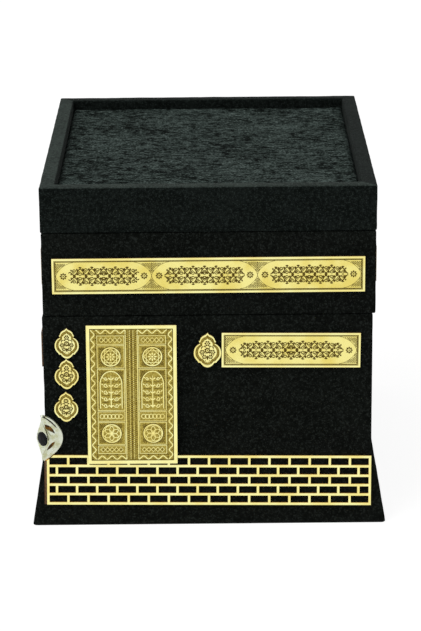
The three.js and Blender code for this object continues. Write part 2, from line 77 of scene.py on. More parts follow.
class Slot(str, Enum):
    """The record's material slots."""

    VELVET = "black_velvet"
    CRUSHED = "crushed_velvet"
    BOARD = "fibreboard"
    GILT = "gilt_plate"
    SILVER = "silvered_metal"
    STONE = "dark_stone"
    BRASS = "hinge_brass"
    PAPER = "lining_paper"


class Side(Enum):
    """A side of the box, with the turn about Z that brings the front to it, in degrees."""

    FRONT = 0
    RIGHT = 90
    BACK = 180
    LEFT = -90

    @property
    def turn(self) -> Matrix:
        """The side's turn as a matrix."""
        return Matrix.Rotation(math.radians(self.value), 4, "Z")


def tint(red: float, green: float, blue: float) -> Colour:
    """Turns a screen colour, 0 to 255, into the linear colour that shaders take.

    Args:
        red, green, blue: the three channels.

    Returns:
        The linear colour with an alpha of 1.
    """
    def linear(channel: float) -> float:
        """One channel, by the sRGB curve."""
        share = channel / 255
        return share / 12.92 if share <= 0.04045 else ((share + 0.055) / 1.055) ** 2.4

    return (linear(red), linear(green), linear(blue), 1.0)


class Signal:
    """A value on a shader socket. Arithmetic on it adds Math nodes."""

    def __init__(self, graph: "Graph", socket: bpy.types.NodeSocket) -> None:
        """Keeps the socket and the graph that it belongs to."""
        self.graph = graph
        self.socket = socket

    def combine(self, operation: str, other: "Number") -> "Signal":
        """One Math node on this signal and another value."""
        return self.graph.node("ShaderNodeMath", {"operation": operation}, {0: self, 1: other})

    def __add__(self, other: "Number") -> "Signal":
        """This plus another."""
        return self.combine("ADD", other)

    def __mul__(self, other: "Number") -> "Signal":
        """This times another."""
        return self.combine("MULTIPLY", other)

    def between(self, low: float, high: float) -> "Signal":
        """A smooth step of this signal.

        Args:
            low, high: where the step starts and ends.

        Returns:
            0 below low and 1 above high.
        """
        settings = {"interpolation_type": "SMOOTHSTEP"}
        return self.graph.node("ShaderNodeMapRange", settings, {0: self, 1: low, 2: high})


Number = float | Signal


class Graph:
    """The node graph of one material or world, built round its shader."""

    def __init__(self, owner: bpy.types.Material | bpy.types.World, shader: str) -> None:
        """Keeps the owner's tree and the shader that it starts with.

        Args:
            owner: the material or world.
            shader: the name of the shader node that it starts with.
        """
        self.owner = owner
        self.owner.use_nodes = True
        self.tree = self.owner.node_tree
        self.shader = self.tree.nodes[shader]

    @classmethod
    def of_material(cls, name: str) -> "Graph":
        """The graph of a new material with a bare Principled shader."""
        return cls(bpy.data.materials.new(name), "Principled BSDF")

    def feed(self, socket: bpy.types.NodeSocket, value: object) -> None:
        """Gives an input what it takes.

        Args:
            socket: the input.
            value: a signal, which is linked, or else the input's own value.
        """
        if isinstance(value, Signal):
            self.tree.links.new(value.socket, socket)
        else:
            socket.default_value = value

    def node(
        self, kind: str, settings: dict | None = None, inputs: dict | None = None,
        output: int | str = 0,
    ) -> Signal:
        """Adds any node.

        Args:
            kind: the node's type.
            settings: its properties, set first.
            inputs: values or signals by socket name or number.
            output: the output that is wanted.

        Returns:
            The signal on that output.
        """
        made = self.tree.nodes.new(kind)
        for key, value in (settings or {}).items():
            setattr(made, key, value)
        for key, value in (inputs or {}).items():
            self.feed(made.inputs[key], value)
        return Signal(self, made.outputs[output])

    def noise(self, size: float, detail: float = 2.0, stretch: Sequence[float] = (1, 1, 1)) -> Signal:
        """Smooth noise on the piece's own coordinates.

        Args:
            size: the grain in millimetres.
            detail: octaves of finer noise.
            stretch: how much longer the grain is along X, Y and Z.

        Returns:
            A signal from 0 to 1, mostly near a half.
        """
        scale = [1 / (size * MM * along) for along in stretch]
        own = self.node("ShaderNodeTexCoord", output="Object")
        place = self.node("ShaderNodeMapping", None, {"Vector": own, "Scale": scale})
        return self.node("ShaderNodeTexNoise", None, {"Vector": place, "Scale": 1.0, "Detail": detail})

    def mix(self, factor: Number, first: object, second: object) -> Signal:
        """Mixes two colours, from the first at factor 0 to the second at 1."""
        inputs = {0: factor, 6: first, 7: second}
        return self.node("ShaderNodeMix", {"data_type": "RGBA"}, inputs, output=2)

    def bump(self, height: Signal, depth: float, strength: float = 1.0) -> Signal:
        """A Bump node.

        Args:
            height: the relief, from 0 to 1.
            depth: what a height of 1 means, in millimetres.
            strength: how much of it shows.

        Returns:
            The bent normal.
        """
        return self.node("ShaderNodeBump", None, {
            "Height": height, "Distance": depth * MM, "Strength": strength,
        })

    def finish(self, **sockets: object) -> bpy.types.Material:
        """Feeds the shader.

        Args:
            sockets: what each input takes, by its name with underscores for spaces.

        Returns:
            The material or world.
        """
        for name, value in sockets.items():
            self.feed(self.shader.inputs[name.replace("_", " ")], value)
        return self.owner

    def backdrop_rays(self) -> Signal:
        """1 for rays that see the backdrop directly, in a mirror or through glass, otherwise 0."""
        names = ("Is Camera Ray", "Is Glossy Ray", "Is Transmission Ray")
        camera, glossy, through = (self.node("ShaderNodeLightPath", output=name) for name in names)
        return (camera + glossy + through).combine("MINIMUM", 1.0)


class Grain(NamedTuple):
    """One scale of noise: its size in millimetres, its octaves and how much longer it is on each axis."""

    size: float
    detail: float = 2.0
    stretch: tuple[float, float, float] = (1, 1, 1)


def weighted(grains: Sequence[Signal], shares: Shares) -> Signal:
    """The sum of some noises.

    Args:
        grains: the noises.
        shares: what each is multiplied by; 0 leaves it out.

    Returns:
        The sum.
    """
    terms = [grain if share == 1 else grain * share for grain, share in zip(grains, shares) if share]
    return sum(terms[1:], terms[0])


@dataclass(frozen=True)
class Pile:
    """A cloth of short pile, in three shades.

    Attributes:
        name: the material's name.
        low, middle, high: its shades.
        grains: its scales of noise.
        body: each grain's share where the low shade turns to the middle one.
        body_turn: the values between which it turns.
        tips: each grain's share where that turns to the high shade.
        tips_turn: the values between which it turns.
        tips_most: how much of the high shade shows at most.
        relief: each grain's share in the bump.
        depth, strength: the bump's depth in millimetres, and how much of it shows.
        roughness, specular: of the bare surface.
        sheen, sheen_colour, sheen_roughness: of the pile seen from the side.
    """

    name: str
    low: Colour
    middle: Colour
    high: Colour
    grains: tuple[Grain, ...]
    body: Shares
    body_turn: Point
    tips: Shares
    tips_turn: Point
    tips_most: float
    relief: Shares
    depth: float
    roughness: float
    specular: float
    sheen: float
    sheen_colour: Colour
    sheen_roughness: float
    strength: float = 0.8

    def material(self) -> bpy.types.Material:
        """Builds the cloth's material."""
        graph = Graph.of_material(self.name)
        grains = [graph.noise(*grain) for grain in self.grains]
        shade = graph.mix(weighted(grains, self.body).between(*self.body_turn), self.low, self.middle)
        tips = weighted(grains, self.tips).between(*self.tips_turn) * self.tips_most
        return graph.finish(
            Base_Color=graph.mix(tips, shade, self.high),
            Roughness=self.roughness,
            Specular_IOR_Level=self.specular,
            Sheen_Weight=self.sheen,
            Sheen_Roughness=self.sheen_roughness,
            Sheen_Tint=self.sheen_colour,
            Normal=graph.bump(weighted(grains, self.relief), self.depth, self.strength),
        )


@dataclass(frozen=True)
class Velvet(Pile):
    """Short-pile velvet: nearly black, with a fine speckle where the pile parts."""

    name: str = "black_velvet"
    low: Colour = tint(3, 5, 3)
    middle: Colour = tint(13, 16, 13)
    high: Colour = tint(42, 47, 44)
    grains: tuple[Grain, ...] = (Grain(17, 3, (1.3, 1, 0.8)), Grain(2.4), Grain(1.0, 1))
    body: Shares = (0.4, 0.6, 0)
    body_turn: Point = (0.38, 0.62)
    tips: Shares = (0, 0.3, 0.7)
    tips_turn: Point = (0.5, 0.68)
    tips_most: float = 0.6
    relief: Shares = (0, 0.4, 0.6)
    depth: float = 0.5
    roughness: float = 0.93
    specular: float = 0.08
    sheen: float = 0.035
    sheen_colour: Colour = tint(165, 185, 176)
    sheen_roughness: float = 0.3


@dataclass(frozen=True)
class CrushedVelvet(Pile):
    """Panne velvet whose pile is pressed in every direction, so that it lies in pale and dark flakes."""

    name: str = "crushed_velvet"
    low: Colour = tint(6, 10, 8)
    middle: Colour = tint(36, 44, 41)
    high: Colour = tint(90, 102, 98)
    grains: tuple[Grain, ...] = (
        Grain(3.6, 4, (1.5, 1, 1)), Grain(9, 3, (1.2, 1, 1)), Grain(34), Grain(1.1, 2, (1.4, 1, 1)),
    )
    body: Shares = (0.55, 0.25, 0.2, 0)
    body_turn: Point = (0.43, 0.52)
    tips: Shares = (0.55 / 2, 0.25 / 2, 0.2 / 2, 0.5)
    tips_turn: Point = (0.49, 0.62)
    tips_most: float = 1.0
    relief: Shares = (0.7, 0, 0, 0.3)
    depth: float = 0.9
    roughness: float = 1.0
    specular: float = 0.02
    sheen: float = 0.012
    sheen_colour: Colour = tint(150, 175, 165)
    sheen_roughness: float = 0.4


@dataclass(frozen=True)
class HardFinish:
    """A hard surface that one or more grains colour, roughen and raise.

    Attributes:
        name: the material's name.
        low, high: its colours, where the grains are low and where they are high.
        grains: its scales of noise.
        colouring: each grain's share in the colour.
        turn: the values between which the colour turns.
        smooth: the roughness where the grains are zero.
        roughening: what each grain adds to it.
        relief: each grain's share in the bump.
        depth, strength: the bump's depth in millimetres, 0 for none, and how much of it shows.
        metallic, specular: the shader's settings.
    """

    name: str
    low: Colour
    high: Colour
    grains: tuple[Grain, ...]
    colouring: Shares = (1,)
    turn: Point = (0.35, 0.65)
    smooth: float = 0.5
    roughening: Shares = (0.2,)
    relief: Shares = (1,)
    depth: float = 0.0
    strength: float = 0.5
    metallic: float = 0.0
    specular: float = 0.5

    def material(self) -> bpy.types.Material:
        """Builds the finish."""
        graph = Graph.of_material(self.name)
        grains = [graph.noise(*grain) for grain in self.grains]
        stain = weighted(grains, self.colouring).between(*self.turn)
        sockets = {
            "Base_Color": graph.mix(stain, self.low, self.high),
            "Roughness": weighted(grains, self.roughening) + self.smooth,
            "Metallic": self.metallic,
            "Specular_IOR_Level": self.specular,
        }
        if self.depth:
            sockets["Normal"] = graph.bump(weighted(grains, self.relief), self.depth, self.strength)
        return graph.finish(**sockets)


@dataclass(frozen=True)
class GiltSheet(HardFinish):
    """Gold-mirrored sheet with small stains and a faint brushed haze."""

    name: str = "gilt_sheet"
    low: Colour = tint(255, 250, 174)
    high: Colour = tint(249, 234, 144)
    grains: tuple[Grain, ...] = (Grain(14, 3), Grain(0.5, 2, (14, 1, 14)))
    turn: Point = (0.35, 0.7)
    smooth: float = 0.19
    roughening: Shares = (0.1, 0.12)
    relief: Shares = (0, 1)
    depth: float = 0.02
    strength: float = 0.35
    metallic: float = 0.86


@dataclass(frozen=True)
class Engraving(HardFinish):
    """What a laser leaves on the sheet: a matt, burnt line or ground."""

    grains: tuple[Grain, ...] = (Grain(0.9, 3),)
    depth: float = 0.06
    metallic: float = 0.7


@dataclass(frozen=True)
class CastSilver(HardFinish):
    """Satin silver plate over a casting, slightly yellowed in patches."""

    name: str = "cast_silver"
    low: Colour = tint(216, 221, 203)
    high: Colour = tint(188, 190, 150)
    grains: tuple[Grain, ...] = (Grain(3.4, 3), Grain(0.5))
    turn: Point = (0.38, 0.68)
    smooth: float = 0.26
    roughening: Shares = (0.14, 0.08)
    relief: Shares = (0.6, 0.4)
    depth: float = 0.05
    strength: float = 0.4
    metallic: float = 0.8


@dataclass(frozen=True)
class PolishedStone(HardFinish):
    """A dark, blue-grey cabochon with cloudy veins under a polish."""

    name: str = "dark_stone"
    low: Colour = tint(14, 16, 16)
    high: Colour = tint(42, 47, 52)
    grains: tuple[Grain, ...] = (Grain(2.6, 4),)
    turn: Point = (0.45, 0.75)
    smooth: float = 0.25
    roughening: Shares = (0.1,)
    specular: float = 0.08


@dataclass(frozen=True)
class LacqueredBrass(HardFinish):
    """Plain hinge brass with handling marks."""

    name: str = "hinge_brass"
    low: Colour = tint(214, 178, 98)
    high: Colour = tint(160, 122, 58)
    grains: tuple[Grain, ...] = (Grain(4, 4), Grain(0.3, 2, (1, 1, 12)))
    turn: Point = (0.35, 0.7)
    smooth: float = 0.18
    roughening: Shares = (0.2, 0.1)
    relief: Shares = (0, 1)
    depth: float = 0.02
    strength: float = 0.4
    metallic: float = 0.95


@dataclass(frozen=True)
class Fibreboard(HardFinish):
    """Raw fibreboard, felted from fine brown fibres."""

    name: str = "fibreboard"
    low: Colour = tint(184, 150, 108)
    high: Colour = tint(140, 106, 70)
    grains: tuple[Grain, ...] = (Grain(0.8, 4, (3, 3, 1)), Grain(20))
    colouring: Shares = (0.7, 0.3)
    smooth: float = 0.78
    roughening: Shares = (0.1,)
    depth: float = 0.1
    strength: float = 0.6


@dataclass(frozen=True)
class LiningPaper(HardFinish):
    """Black paper with a fine tooth, under the base."""

    name: str = "lining_paper"
    low: Colour = tint(20, 20, 20)
    high: Colour = tint(42, 41, 40)
    grains: tuple[Grain, ...] = (Grain(0.7, 4),)
    turn: Point = (0.4, 0.7)
    smooth: float = 0.82
    roughening: Shares = (0.1,)
    depth: float = 0.05


class Wardrobe:
    """Every finish of the box, made once."""

    def __init__(self) -> None:
        """Builds the materials."""
        self.velvet = Velvet().material()
        # The lid's velvet: a lighter, slightly greener copy of the velvet, painted lighter for the light the
        # lid gets.
        self.lid_velvet_painted_light = self.velvet_in("lid_velvet_painted_light", (5, 9, 7), (18, 23, 21), (46, 54, 51))
        # A still lighter copy for the tops of the left and front rims: painted sheen.
        self.velvet_painted_sheen = self.velvet_in("velvet_painted_sheen", (32, 38, 35), (50, 58, 54), (70, 80, 76))
        self.crushed = CrushedVelvet().material()
        self.gilt = GiltSheet().material()
        self.field = GiltSheet("gilt_field", tint(247, 237, 150), tint(235, 217, 114), smooth=0.25).material()
        self.line = self.burnt_to("engraved_line", (66, 50, 0), (106, 86, 0))
        self.ground = self.burnt_to("engraved_ground", (150, 130, 44), (196, 178, 84))
        self.contour = self.burnt_to("engraved_contour", (118, 98, 22), (168, 148, 60))
        self.burnt = self.burnt_to("burnt_edge", (58, 34, 12), (104, 68, 26), 1.2, 0.1)
        self.edge = self.burnt_to("cut_edge", (214, 152, 52), (240, 186, 84), 1.6, 0.5)
        self.silver = CastSilver().material()
        # Dark brown to amber, for the sheet behind the ornament's openings: painted shade and a painted amber
        # reflection.
        self.recess = self.burnt_to("ornament_painted_shade_glint", (26, 17, 4), (170, 114, 20), 3.4, 0.4)
        # Nearly black, for the line inside the ornament's lip: a painted shadow.
        self.shadow_paint = self.burnt_to("painted_shadow_line", (10, 7, 2), (44, 34, 14), 1.2, 0.2)
        self.stone = PolishedStone().material()
        self.brass = LacqueredBrass().material()
        self.board = Fibreboard().material()
        self.paper = LiningPaper().material()

    @staticmethod
    def velvet_in(name: str, *shades: Sequence[float]) -> bpy.types.Material:
        """The velvet in other shades, low, middle and high, as screen colours."""
        return Velvet(name, *(tint(*shade) for shade in shades)).material()

    @staticmethod
    def burnt_to(
        name: str, low: Sequence[float], high: Sequence[float], grain: float = 0.9, metallic: float = 0.7,
    ) -> bpy.types.Material:
        """An engraving's finish.

        Args:
            name: the material's name.
            low, high: its screen colours.
            grain: the size of its stains in millimetres.
            metallic: how much of the metal shows.

        Returns:
            The material.
        """
        return Engraving(name, tint(*low), tint(*high), (Grain(grain, 3),), metallic=metallic).material()


@dataclass(frozen=True)
class Fit:
    """Where a new piece belongs.

    Attributes:
        body: the body that it rides on.
        slot: the record's slot of its finish.
        replaces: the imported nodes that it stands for.
        place: from the piece's own millimetres to the frame's metres, without the scale.
    """

    body: Body
    slot: Slot
    replaces: tuple[str, ...] = ()
    place: Matrix = field(default_factory=lambda: Matrix.Identity(4))


def packed_box(node: str) -> tuple[Vector, Vector]:
    """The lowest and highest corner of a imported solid, in millimetres."""
    low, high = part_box(node)
    return low / MM, high / MM


def linked(name: str, data: bpy.types.ID) -> bpy.types.Object:
    """A new object in the scene.

    Args:
        name: its name.
        data: its mesh, curve, lamp or camera.

    Returns:
        The object.
    """
    made = bpy.data.objects.new(name, data)
    bpy.context.scene.collection.objects.link(made)
    return made


class Workpiece:
    """A bmesh in millimetres, shaped by operators and then finished as one named object."""

    weld = 1e-4
    on_plane = 1e-5

    def __init__(self, mesh: bpy.types.Mesh | None = None) -> None:
        """Starts empty, or as a mesh is.

        Args:
            mesh: what it starts from, if anything.
        """
        self.bm = bmesh.new()
        if mesh:
            self.bm.from_mesh(mesh)

    def block(self, low: Sequence[float], high: Sequence[float]) -> list[bmesh.types.BMVert]:
        """A box between two corners.

        Args:
            low, high: the corners.

        Returns:
            Its vertices.
        """
        made = bmesh.ops.create_cube(self.bm, size=1)["verts"]
        bmesh.ops.scale(self.bm, vec=Vector(high) - Vector(low), verts=made)
        bmesh.ops.translate(self.bm, vec=(Vector(low) + Vector(high)) / 2, verts=made)
        return made

    def slab(self, outline: Sequence[Point], low: float, high: float) -> bmesh.types.BMFace:
        """A flat plate of any outline.

        Args:
            outline: its corners, anticlockwise.
            low, high: its lower and upper height.

        Returns:
            Its upper face.
        """
        face = self.bm.faces.new([self.bm.verts.new((x, y, low)) for x, y in outline])
        upper = self.extrude([face], high - low)[0]
        bmesh.ops.recalc_face_normals(self.bm, faces=self.bm.faces)
        return upper

    def extrude(self, faces: Sequence[bmesh.types.BMFace], lift: float) -> list[bmesh.types.BMFace]:
        """Extrudes faces upwards.

        Args:
            faces: the faces.
            lift: how far they go up.

        Returns:
            The faces at their new height.
        """
        made = bmesh.ops.extrude_face_region(self.bm, geom=list(faces))["geom"]
        risen = [item for item in made if isinstance(item, bmesh.types.BMVert)]
        bmesh.ops.translate(self.bm, vec=(0, 0, lift), verts=risen)
        return [item for item in made if isinstance(item, bmesh.types.BMFace)]

    def facing(self, axis: Sequence[float]) -> list[bmesh.types.BMFace]:
        """The faces that look along an axis."""
        self.bm.normal_update()
        return [face for face in self.bm.faces if face.normal.dot(Vector(axis)) > 0.99]

    def sort_faces(self, field_height: float) -> None:
        """Sorts a plate's faces: 0 for its face, 1 for its field, 2 for its sides, 3 for the slope between.

        Args:
            field_height: the field's height.
        """
        self.bm.normal_update()
        for face in self.bm.faces:
            sunk = face.calc_center_median().z < field_height + 0.05
            level = abs(face.normal.z)
            face.material_index = int(sunk) if level > 0.85 else (2 if level < 0.5 else 3)

    def folds(self, degrees: float) -> list[bmesh.types.BMEdge]:
        """The edges whose two faces meet at more than an angle.

        Args:
            degrees: the angle.

        Returns:
            The edges.
        """
        self.bm.normal_update()
        least = math.radians(degrees)
        inner = (edge for edge in self.bm.edges if len(edge.link_faces) == 2)
        return [edge for edge in inner if edge.calc_face_angle(0) > least]

    def bevel(self, edges: Iterable[bmesh.types.BMEdge], offset: float, segments: int = 2) -> None:
        """Rounds edges.

        Args:
            edges: the edges.
            offset: how far from an edge the rounding starts.
            segments: the number of faces round it.
        """
        bmesh.ops.bevel(
            self.bm, geom=list(edges), offset=offset, affect="EDGES", segments=segments,
            profile=0.5, material=-1, clamp_overlap=True,
        )

    def round_rim(self, offset: float) -> None:
        """Rounds the sharp edges of a plate's upper half."""
        rim = [edge for edge in self.folds(60) if all(vertex.co.z > 0 for vertex in edge.verts)]
        self.bevel(rim, offset)

    def cut(self, at: Sequence[float], normal: Sequence[float], geom: Iterable | None = None) -> None:
        """Cuts faces in two along a plane, and keeps both halves.

        Args:
            at: a point of the plane.
            normal: the plane's normal.
            geom: the faces to cut with their edges and vertices; all unless given.
        """
        whole = list(geom) if geom else [*self.bm.verts, *self.bm.edges, *self.bm.faces]
        bmesh.ops.bisect_plane(self.bm, geom=whole, dist=self.on_plane, plane_co=at, plane_no=normal)

    def slice(self, axis: int, step: float) -> None:
        """Cuts the mesh across an axis at even steps, so that it can be moved softly.

        Args:
            axis: 0, 1 or 2.
            step: the distance between cuts.
        """
        normal = Vector([float(axis == k) for k in range(3)])
        reach = [vertex.co[axis] for vertex in self.bm.verts]
        low, high = min(reach), max(reach)
        count = max(2, round((high - low) / step))
        for number in range(1, count):
            self.cut(normal * (low + (high - low) * number / count), normal)

    def mesh(self, name: str) -> bpy.types.Mesh:
        """Gives the shape as a mesh for further work, and ends the workpiece.

        Args:
            name: the mesh's name.

        Returns:
            The mesh.
        """
        made = bpy.data.meshes.new(name)
        self.bm.to_mesh(made)
        self.bm.free()
        return made

    def finish(
        self, name: str, finishes: Sequence[bpy.types.Material], fit: Fit, smooth: float | None = 40,
    ) -> bpy.types.Object:
        """Turns the bmesh into a piece of the box.

        Args:
            name: the piece's name.
            finishes: its materials, by material index.
            fit: where it belongs.
            smooth: the angle past which an edge stays sharp, or None for flat faces.

        Returns:
            The finished object.
        """
        bmesh.ops.remove_doubles(self.bm, verts=self.bm.verts, dist=self.weld)
        bmesh.ops.recalc_face_normals(self.bm, faces=self.bm.faces)
        self.bm.transform(fit.place @ Matrix.Scale(MM, 4))
        for face in self.bm.faces:
            face.smooth = smooth is not None
        mesh = self.mesh(name)
        if smooth is not None:
            mesh.set_sharp_from_angle(angle=math.radians(smooth))
        for finish in finishes:
            mesh.materials.append(finish)
        made = linked(name, mesh)
        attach(made, fit.body.value)
        if fit.replaces:
            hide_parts(*fit.replaces)
        LOG.info("%s: %d faces", name, len(mesh.polygons))
        return made


def add_modifier(piece: bpy.types.Object, kind: str, **settings: object) -> None:
    """Gives a piece a modifier with its settings.

    Args:
        piece: the object.
        kind: the modifier's type.
        settings: its properties.
    """
    modifier = piece.modifiers.new(kind.lower(), kind)
    for key, value in settings.items():
        setattr(modifier, key, value)


@dataclass(frozen=True)
class Stroke:
    """One drawn line.

    Attributes:
        points: where it runs.
        widths: its width at each point, or one width for all.
        closed: whether it ends where it starts.
        height: how high it lies.
    """

    points: tuple[Point, ...]
    widths: Shares | float
    closed: bool = False
    height: float = 0.0

    def moved(self, x: float, y: float, turn: float = 0, flip: bool = False) -> "Stroke":
        """The same line at another place.

        Args:
            x, y: how far it moves.
            turn: its turn about the origin before that, in radians.
            flip: whether it is first mirrored left to right.

        Returns:
            The new line.
        """
        cosine, sine = math.cos(turn), math.sin(turn)
        sign = -1 if flip else 1
        placed = tuple(
            (x + sign * px * cosine - py * sine, y + sign * px * sine + py * cosine)
            for px, py in self.points
        )
        return replace(self, points=placed)

    def scaled(self, size: float) -> "Stroke":
        """The same line larger or smaller, as wide as before."""
        return replace(self, points=tuple((x * size, y * size) for x, y in self.points))


Drawing = list[Stroke]
Layers = tuple[Drawing, Drawing]


def moved(drawing: Drawing, x: float, y: float, turn: float = 0, flip: bool = False) -> Drawing:
    """A whole drawing mirrored, turned and moved."""
    return [stroke.moved(x, y, turn, flip) for stroke in drawing]


def mirrored(drawing: Drawing) -> Drawing:
    """A drawing with its mirror image across the Y axis."""
    return drawing + [stroke.moved(0, 0, flip=True) for stroke in drawing]


def upturned(drawing: Drawing) -> Drawing:
    """A drawing with its mirror image across the X axis."""
    return drawing + [stroke.moved(0, 0, math.pi, flip=True) for stroke in drawing]


def arc(centre: Point, radius: float, start: float, end: float, count: int = 8) -> list[Point]:
    """Points on a circle.

    Args:
        centre: its middle.
        radius: its radius.
        start, end: the angles, in degrees.
        count: the number of steps.

    Returns:
        The points, ends included.
    """
    angles = [math.radians(start + (end - start) * i / count) for i in range(count + 1)]
    return [(centre[0] + radius * math.cos(a), centre[1] + radius * math.sin(a)) for a in angles]


def around(count: int, radius: float, start: float = 0.0) -> list[tuple[float, float, float]]:
    """Even places on a circle round the origin.

    Args:
        count: how many.
        radius: the circle's radius.
        start: the angle of the first, in degrees.

    Returns:
        For each, its x, its y and its angle in radians.
    """
    angles = [math.radians(start + 360 * i / count) for i in range(count)]
    return [(radius * math.cos(angle), radius * math.sin(angle), angle) for angle in angles]


def ring(x: float, y: float, radius: float, width: float, count: int = 16) -> Stroke:
    """A drawn circle."""
    return Stroke(tuple(arc((x, y), radius, 0, 360, count)[:-1]), width, True)


def dot(x: float, y: float, radius: float) -> Stroke:
    """A small filled lozenge."""
    return Stroke(((x - radius, y), (x, y), (x + radius, y)), (0.0, 2 * radius, 0.0))


def leaf(length: float, width: float, bend: float = 0.0) -> Stroke:
    """A pointed leaf that starts at the origin and grows along X.

    Args:
        length: from its stalk to its tip.
        width: its greatest width.
        bend: how far its tip curls to the left.

    Returns:
        The leaf as a swelling line.
    """
    shares = (0.0, 0.25, 0.55, 0.8, 1.0)
    points = tuple((length * s, bend * s * s) for s in shares)
    return Stroke(points, tuple(width * s for s in (0.15, 0.8, 1.0, 0.6, 0.0)))


def spiral(
    x: float, y: float, radius: float, width: float, start: float = -90, turns: float = 1.4, sign: int = 1,
) -> Stroke:
    """A tendril that winds in round a place and ends in a bud.

    Args:
        x, y: the middle of the spiral.
        radius: of its outer turn.
        width: of its line; the bud is wider.
        start: the angle at which it begins, in degrees.
        turns: how many turns it makes.
        sign: 1 winds to the left, -1 to the right.

    Returns:
        The tendril.
    """
    count = max(6, round(turns * 10))
    points, widths = [], []
    for i in range(count + 1):
        share = i / count
        reach = radius * (1 - 0.78 * share)
        angle = math.radians(start + sign * share * turns * 360)
        points.append((x + reach * math.cos(angle), y + reach * math.sin(angle)))
        widths.append(width * (1 if share < 0.8 else 1.7 - abs(share - 0.92) * 8))
    return Stroke(tuple(points), tuple(max(0.1, w) for w in widths))


def rosette(radius: float, petals: int, width: float) -> Drawing:
    """A small flower of pointed petals round a dot.

    Args:
        radius: from its middle to the petals' tips.
        petals: how many it has.
        width: of each petal.

    Returns:
        The drawing.
    """
    start = radius * 0.34
    petal = leaf(radius - start, width)
    return [dot(0, 0, radius * 0.24), *(petal.moved(*place) for place in around(petals, start))]


def scroll_block(half_width: float, half_height: float, weight: float = 0.72) -> Drawing:
    """Dense, mirrored arabesque in a long oval: waving stems with a tendril in every hollow.

    Args:
        half_width, half_height: the oval's half axes.
        weight: the width of its stems.

    Returns:
        The drawing, centred on the origin.
    """
    waves = max(3, round(half_width / 3.9))
    span = half_width * 0.97 / waves
    drawing: Drawing = []

    def allowed(x: float) -> float:
        """Half the height of the oval at x."""
        return half_height * math.sqrt(max(0.15, 1 - (abs(x) / half_width) ** 6))

    steps = waves * 8
    xs = [span * waves * i / steps for i in range(steps + 1)]
    stem = tuple((x, allowed(x) * (0.5 + 0.34 * math.cos(math.pi * x / span))) for x in xs)
    drawing.append(Stroke(stem, weight))
    for i in range(waves):
        x = span * i
        room = allowed(x)
        high = i % 2 == 0
        reach = min(span * 0.42, room * 0.28)
        middle = room * (0.3 if high else 0.68)
        sign = -1 if high else 1
        drawing.append(spiral(x, middle, reach, weight * 0.85, -90 * sign, 1.3, sign))
        crest = room * (0.99 if high else 0.05)
        drawing.append(leaf(span * 0.62, weight * 1.7, 0.25).moved(x - span * 0.3, crest))
        for side in (-1, 1):
            root = x + side * span * 0.5
            drawing.append(leaf(room * 0.3, weight * 1.6, -0.4 * side).moved(root, room * 0.62, math.pi / 2))
            drawing.append(leaf(room * 0.26, weight * 1.5, 0.4 * side).moved(root, room * 0.38, -math.pi / 2))
    return upturned(mirrored(drawing))


def lace(
    inside: Callable[[float, float], bool], half_width: float, half_height: float, pitch: float,
) -> Drawing:
    """Fine filling of small lozenges and rings on a staggered grid.

    Args:
        inside: whether a figure may stand at a place.
        half_width, half_height: the room to fill.
        pitch: the distance between figures.

    Returns:
        The drawing.
    """
    drawing: Drawing = []
    rows = math.floor(half_height / pitch * 2)
    columns = math.floor(half_width / pitch)
    for row in range(-rows, rows + 1):
        for column in range(-columns, columns + 1):
            x = (column + (0.5 if row % 2 else 0.0)) * pitch
            y = row * pitch / 2
            if abs(x) > half_width or abs(y) > half_height or not inside(x, y):
                continue
            if row % 2:
                drawing.append(ring(x, y, pitch * 0.28, pitch * 0.24, 6))
            else:
                drawing.append(dot(x, y, pitch * 0.33))
    return drawing


def bezier(ends: Sequence[Point], count: int) -> list[Point]:
    """Points on a cubic curve.

    Args:
        ends: its start, its two handles and its end.
        count: how many points, ends included.

    Returns:
        The points.
    """
    return [(p.x, p.y) for p in interpolate_bezier(*[Vector((x, y, 0)) for x, y in ends], count)]


def quadratic(start: Point, pull: Point, end: Point, count: int = 8) -> list[Point]:
    """Points on a curve with one handle, its end left out.

    Args:
        start, pull, end: the curve's start, handle and end.
        count: how many points.

    Returns:
        The points.
    """
    shares = [i / count for i in range(count)]
    weights = [((1 - s) ** 2, 2 * s * (1 - s), s * s) for s in shares]
    return [tuple(a * start[k] + b * pull[k] + c * end[k] for k in range(2)) for a, b, c in weights]


def curved_outline(start: Point, *curves: tuple[Point, Point]) -> list[Point]:
    """A closed outline of curves with one handle.

    Args:
        start: where it starts and ends.
        curves: the handle and the end of each curve.

    Returns:
        Its points.
    """
    points: list[Point] = []
    for pull, end in curves:
        points += quadratic(start, pull, end)
        start = end
    return points


def evaluated(data: bpy.types.ID, steps: Sequence[tuple[str, dict]] = ()) -> bpy.types.Mesh:
    """A curve or a mesh as a mesh, after modifiers.

    Args:
        data: the curve or mesh; it stays as it is.
        steps: modifier types with their settings.

    Returns:
        A new mesh.
    """
    piece = linked("throwaway", data)
    for kind, settings in steps:
        add_modifier(piece, kind, **settings)
    mesh = bpy.data.meshes.new_from_object(piece.evaluated_get(bpy.context.evaluated_depsgraph_get()))
    bpy.data.objects.remove(piece)
    return mesh


def rectangle(half_width: float, half_height: float) -> list[Point]:
    """The four corners of a rectangle, anticlockwise."""
    signs = ((-1, -1), (1, -1), (1, 1), (-1, 1))
    return [(half_width * x, half_height * y) for x, y in signs]


def frame_line(half_width: float, half_height: float, width: float) -> Stroke:
    """A drawn rectangle."""
    return Stroke(tuple(rectangle(half_width, half_height)), width, True)


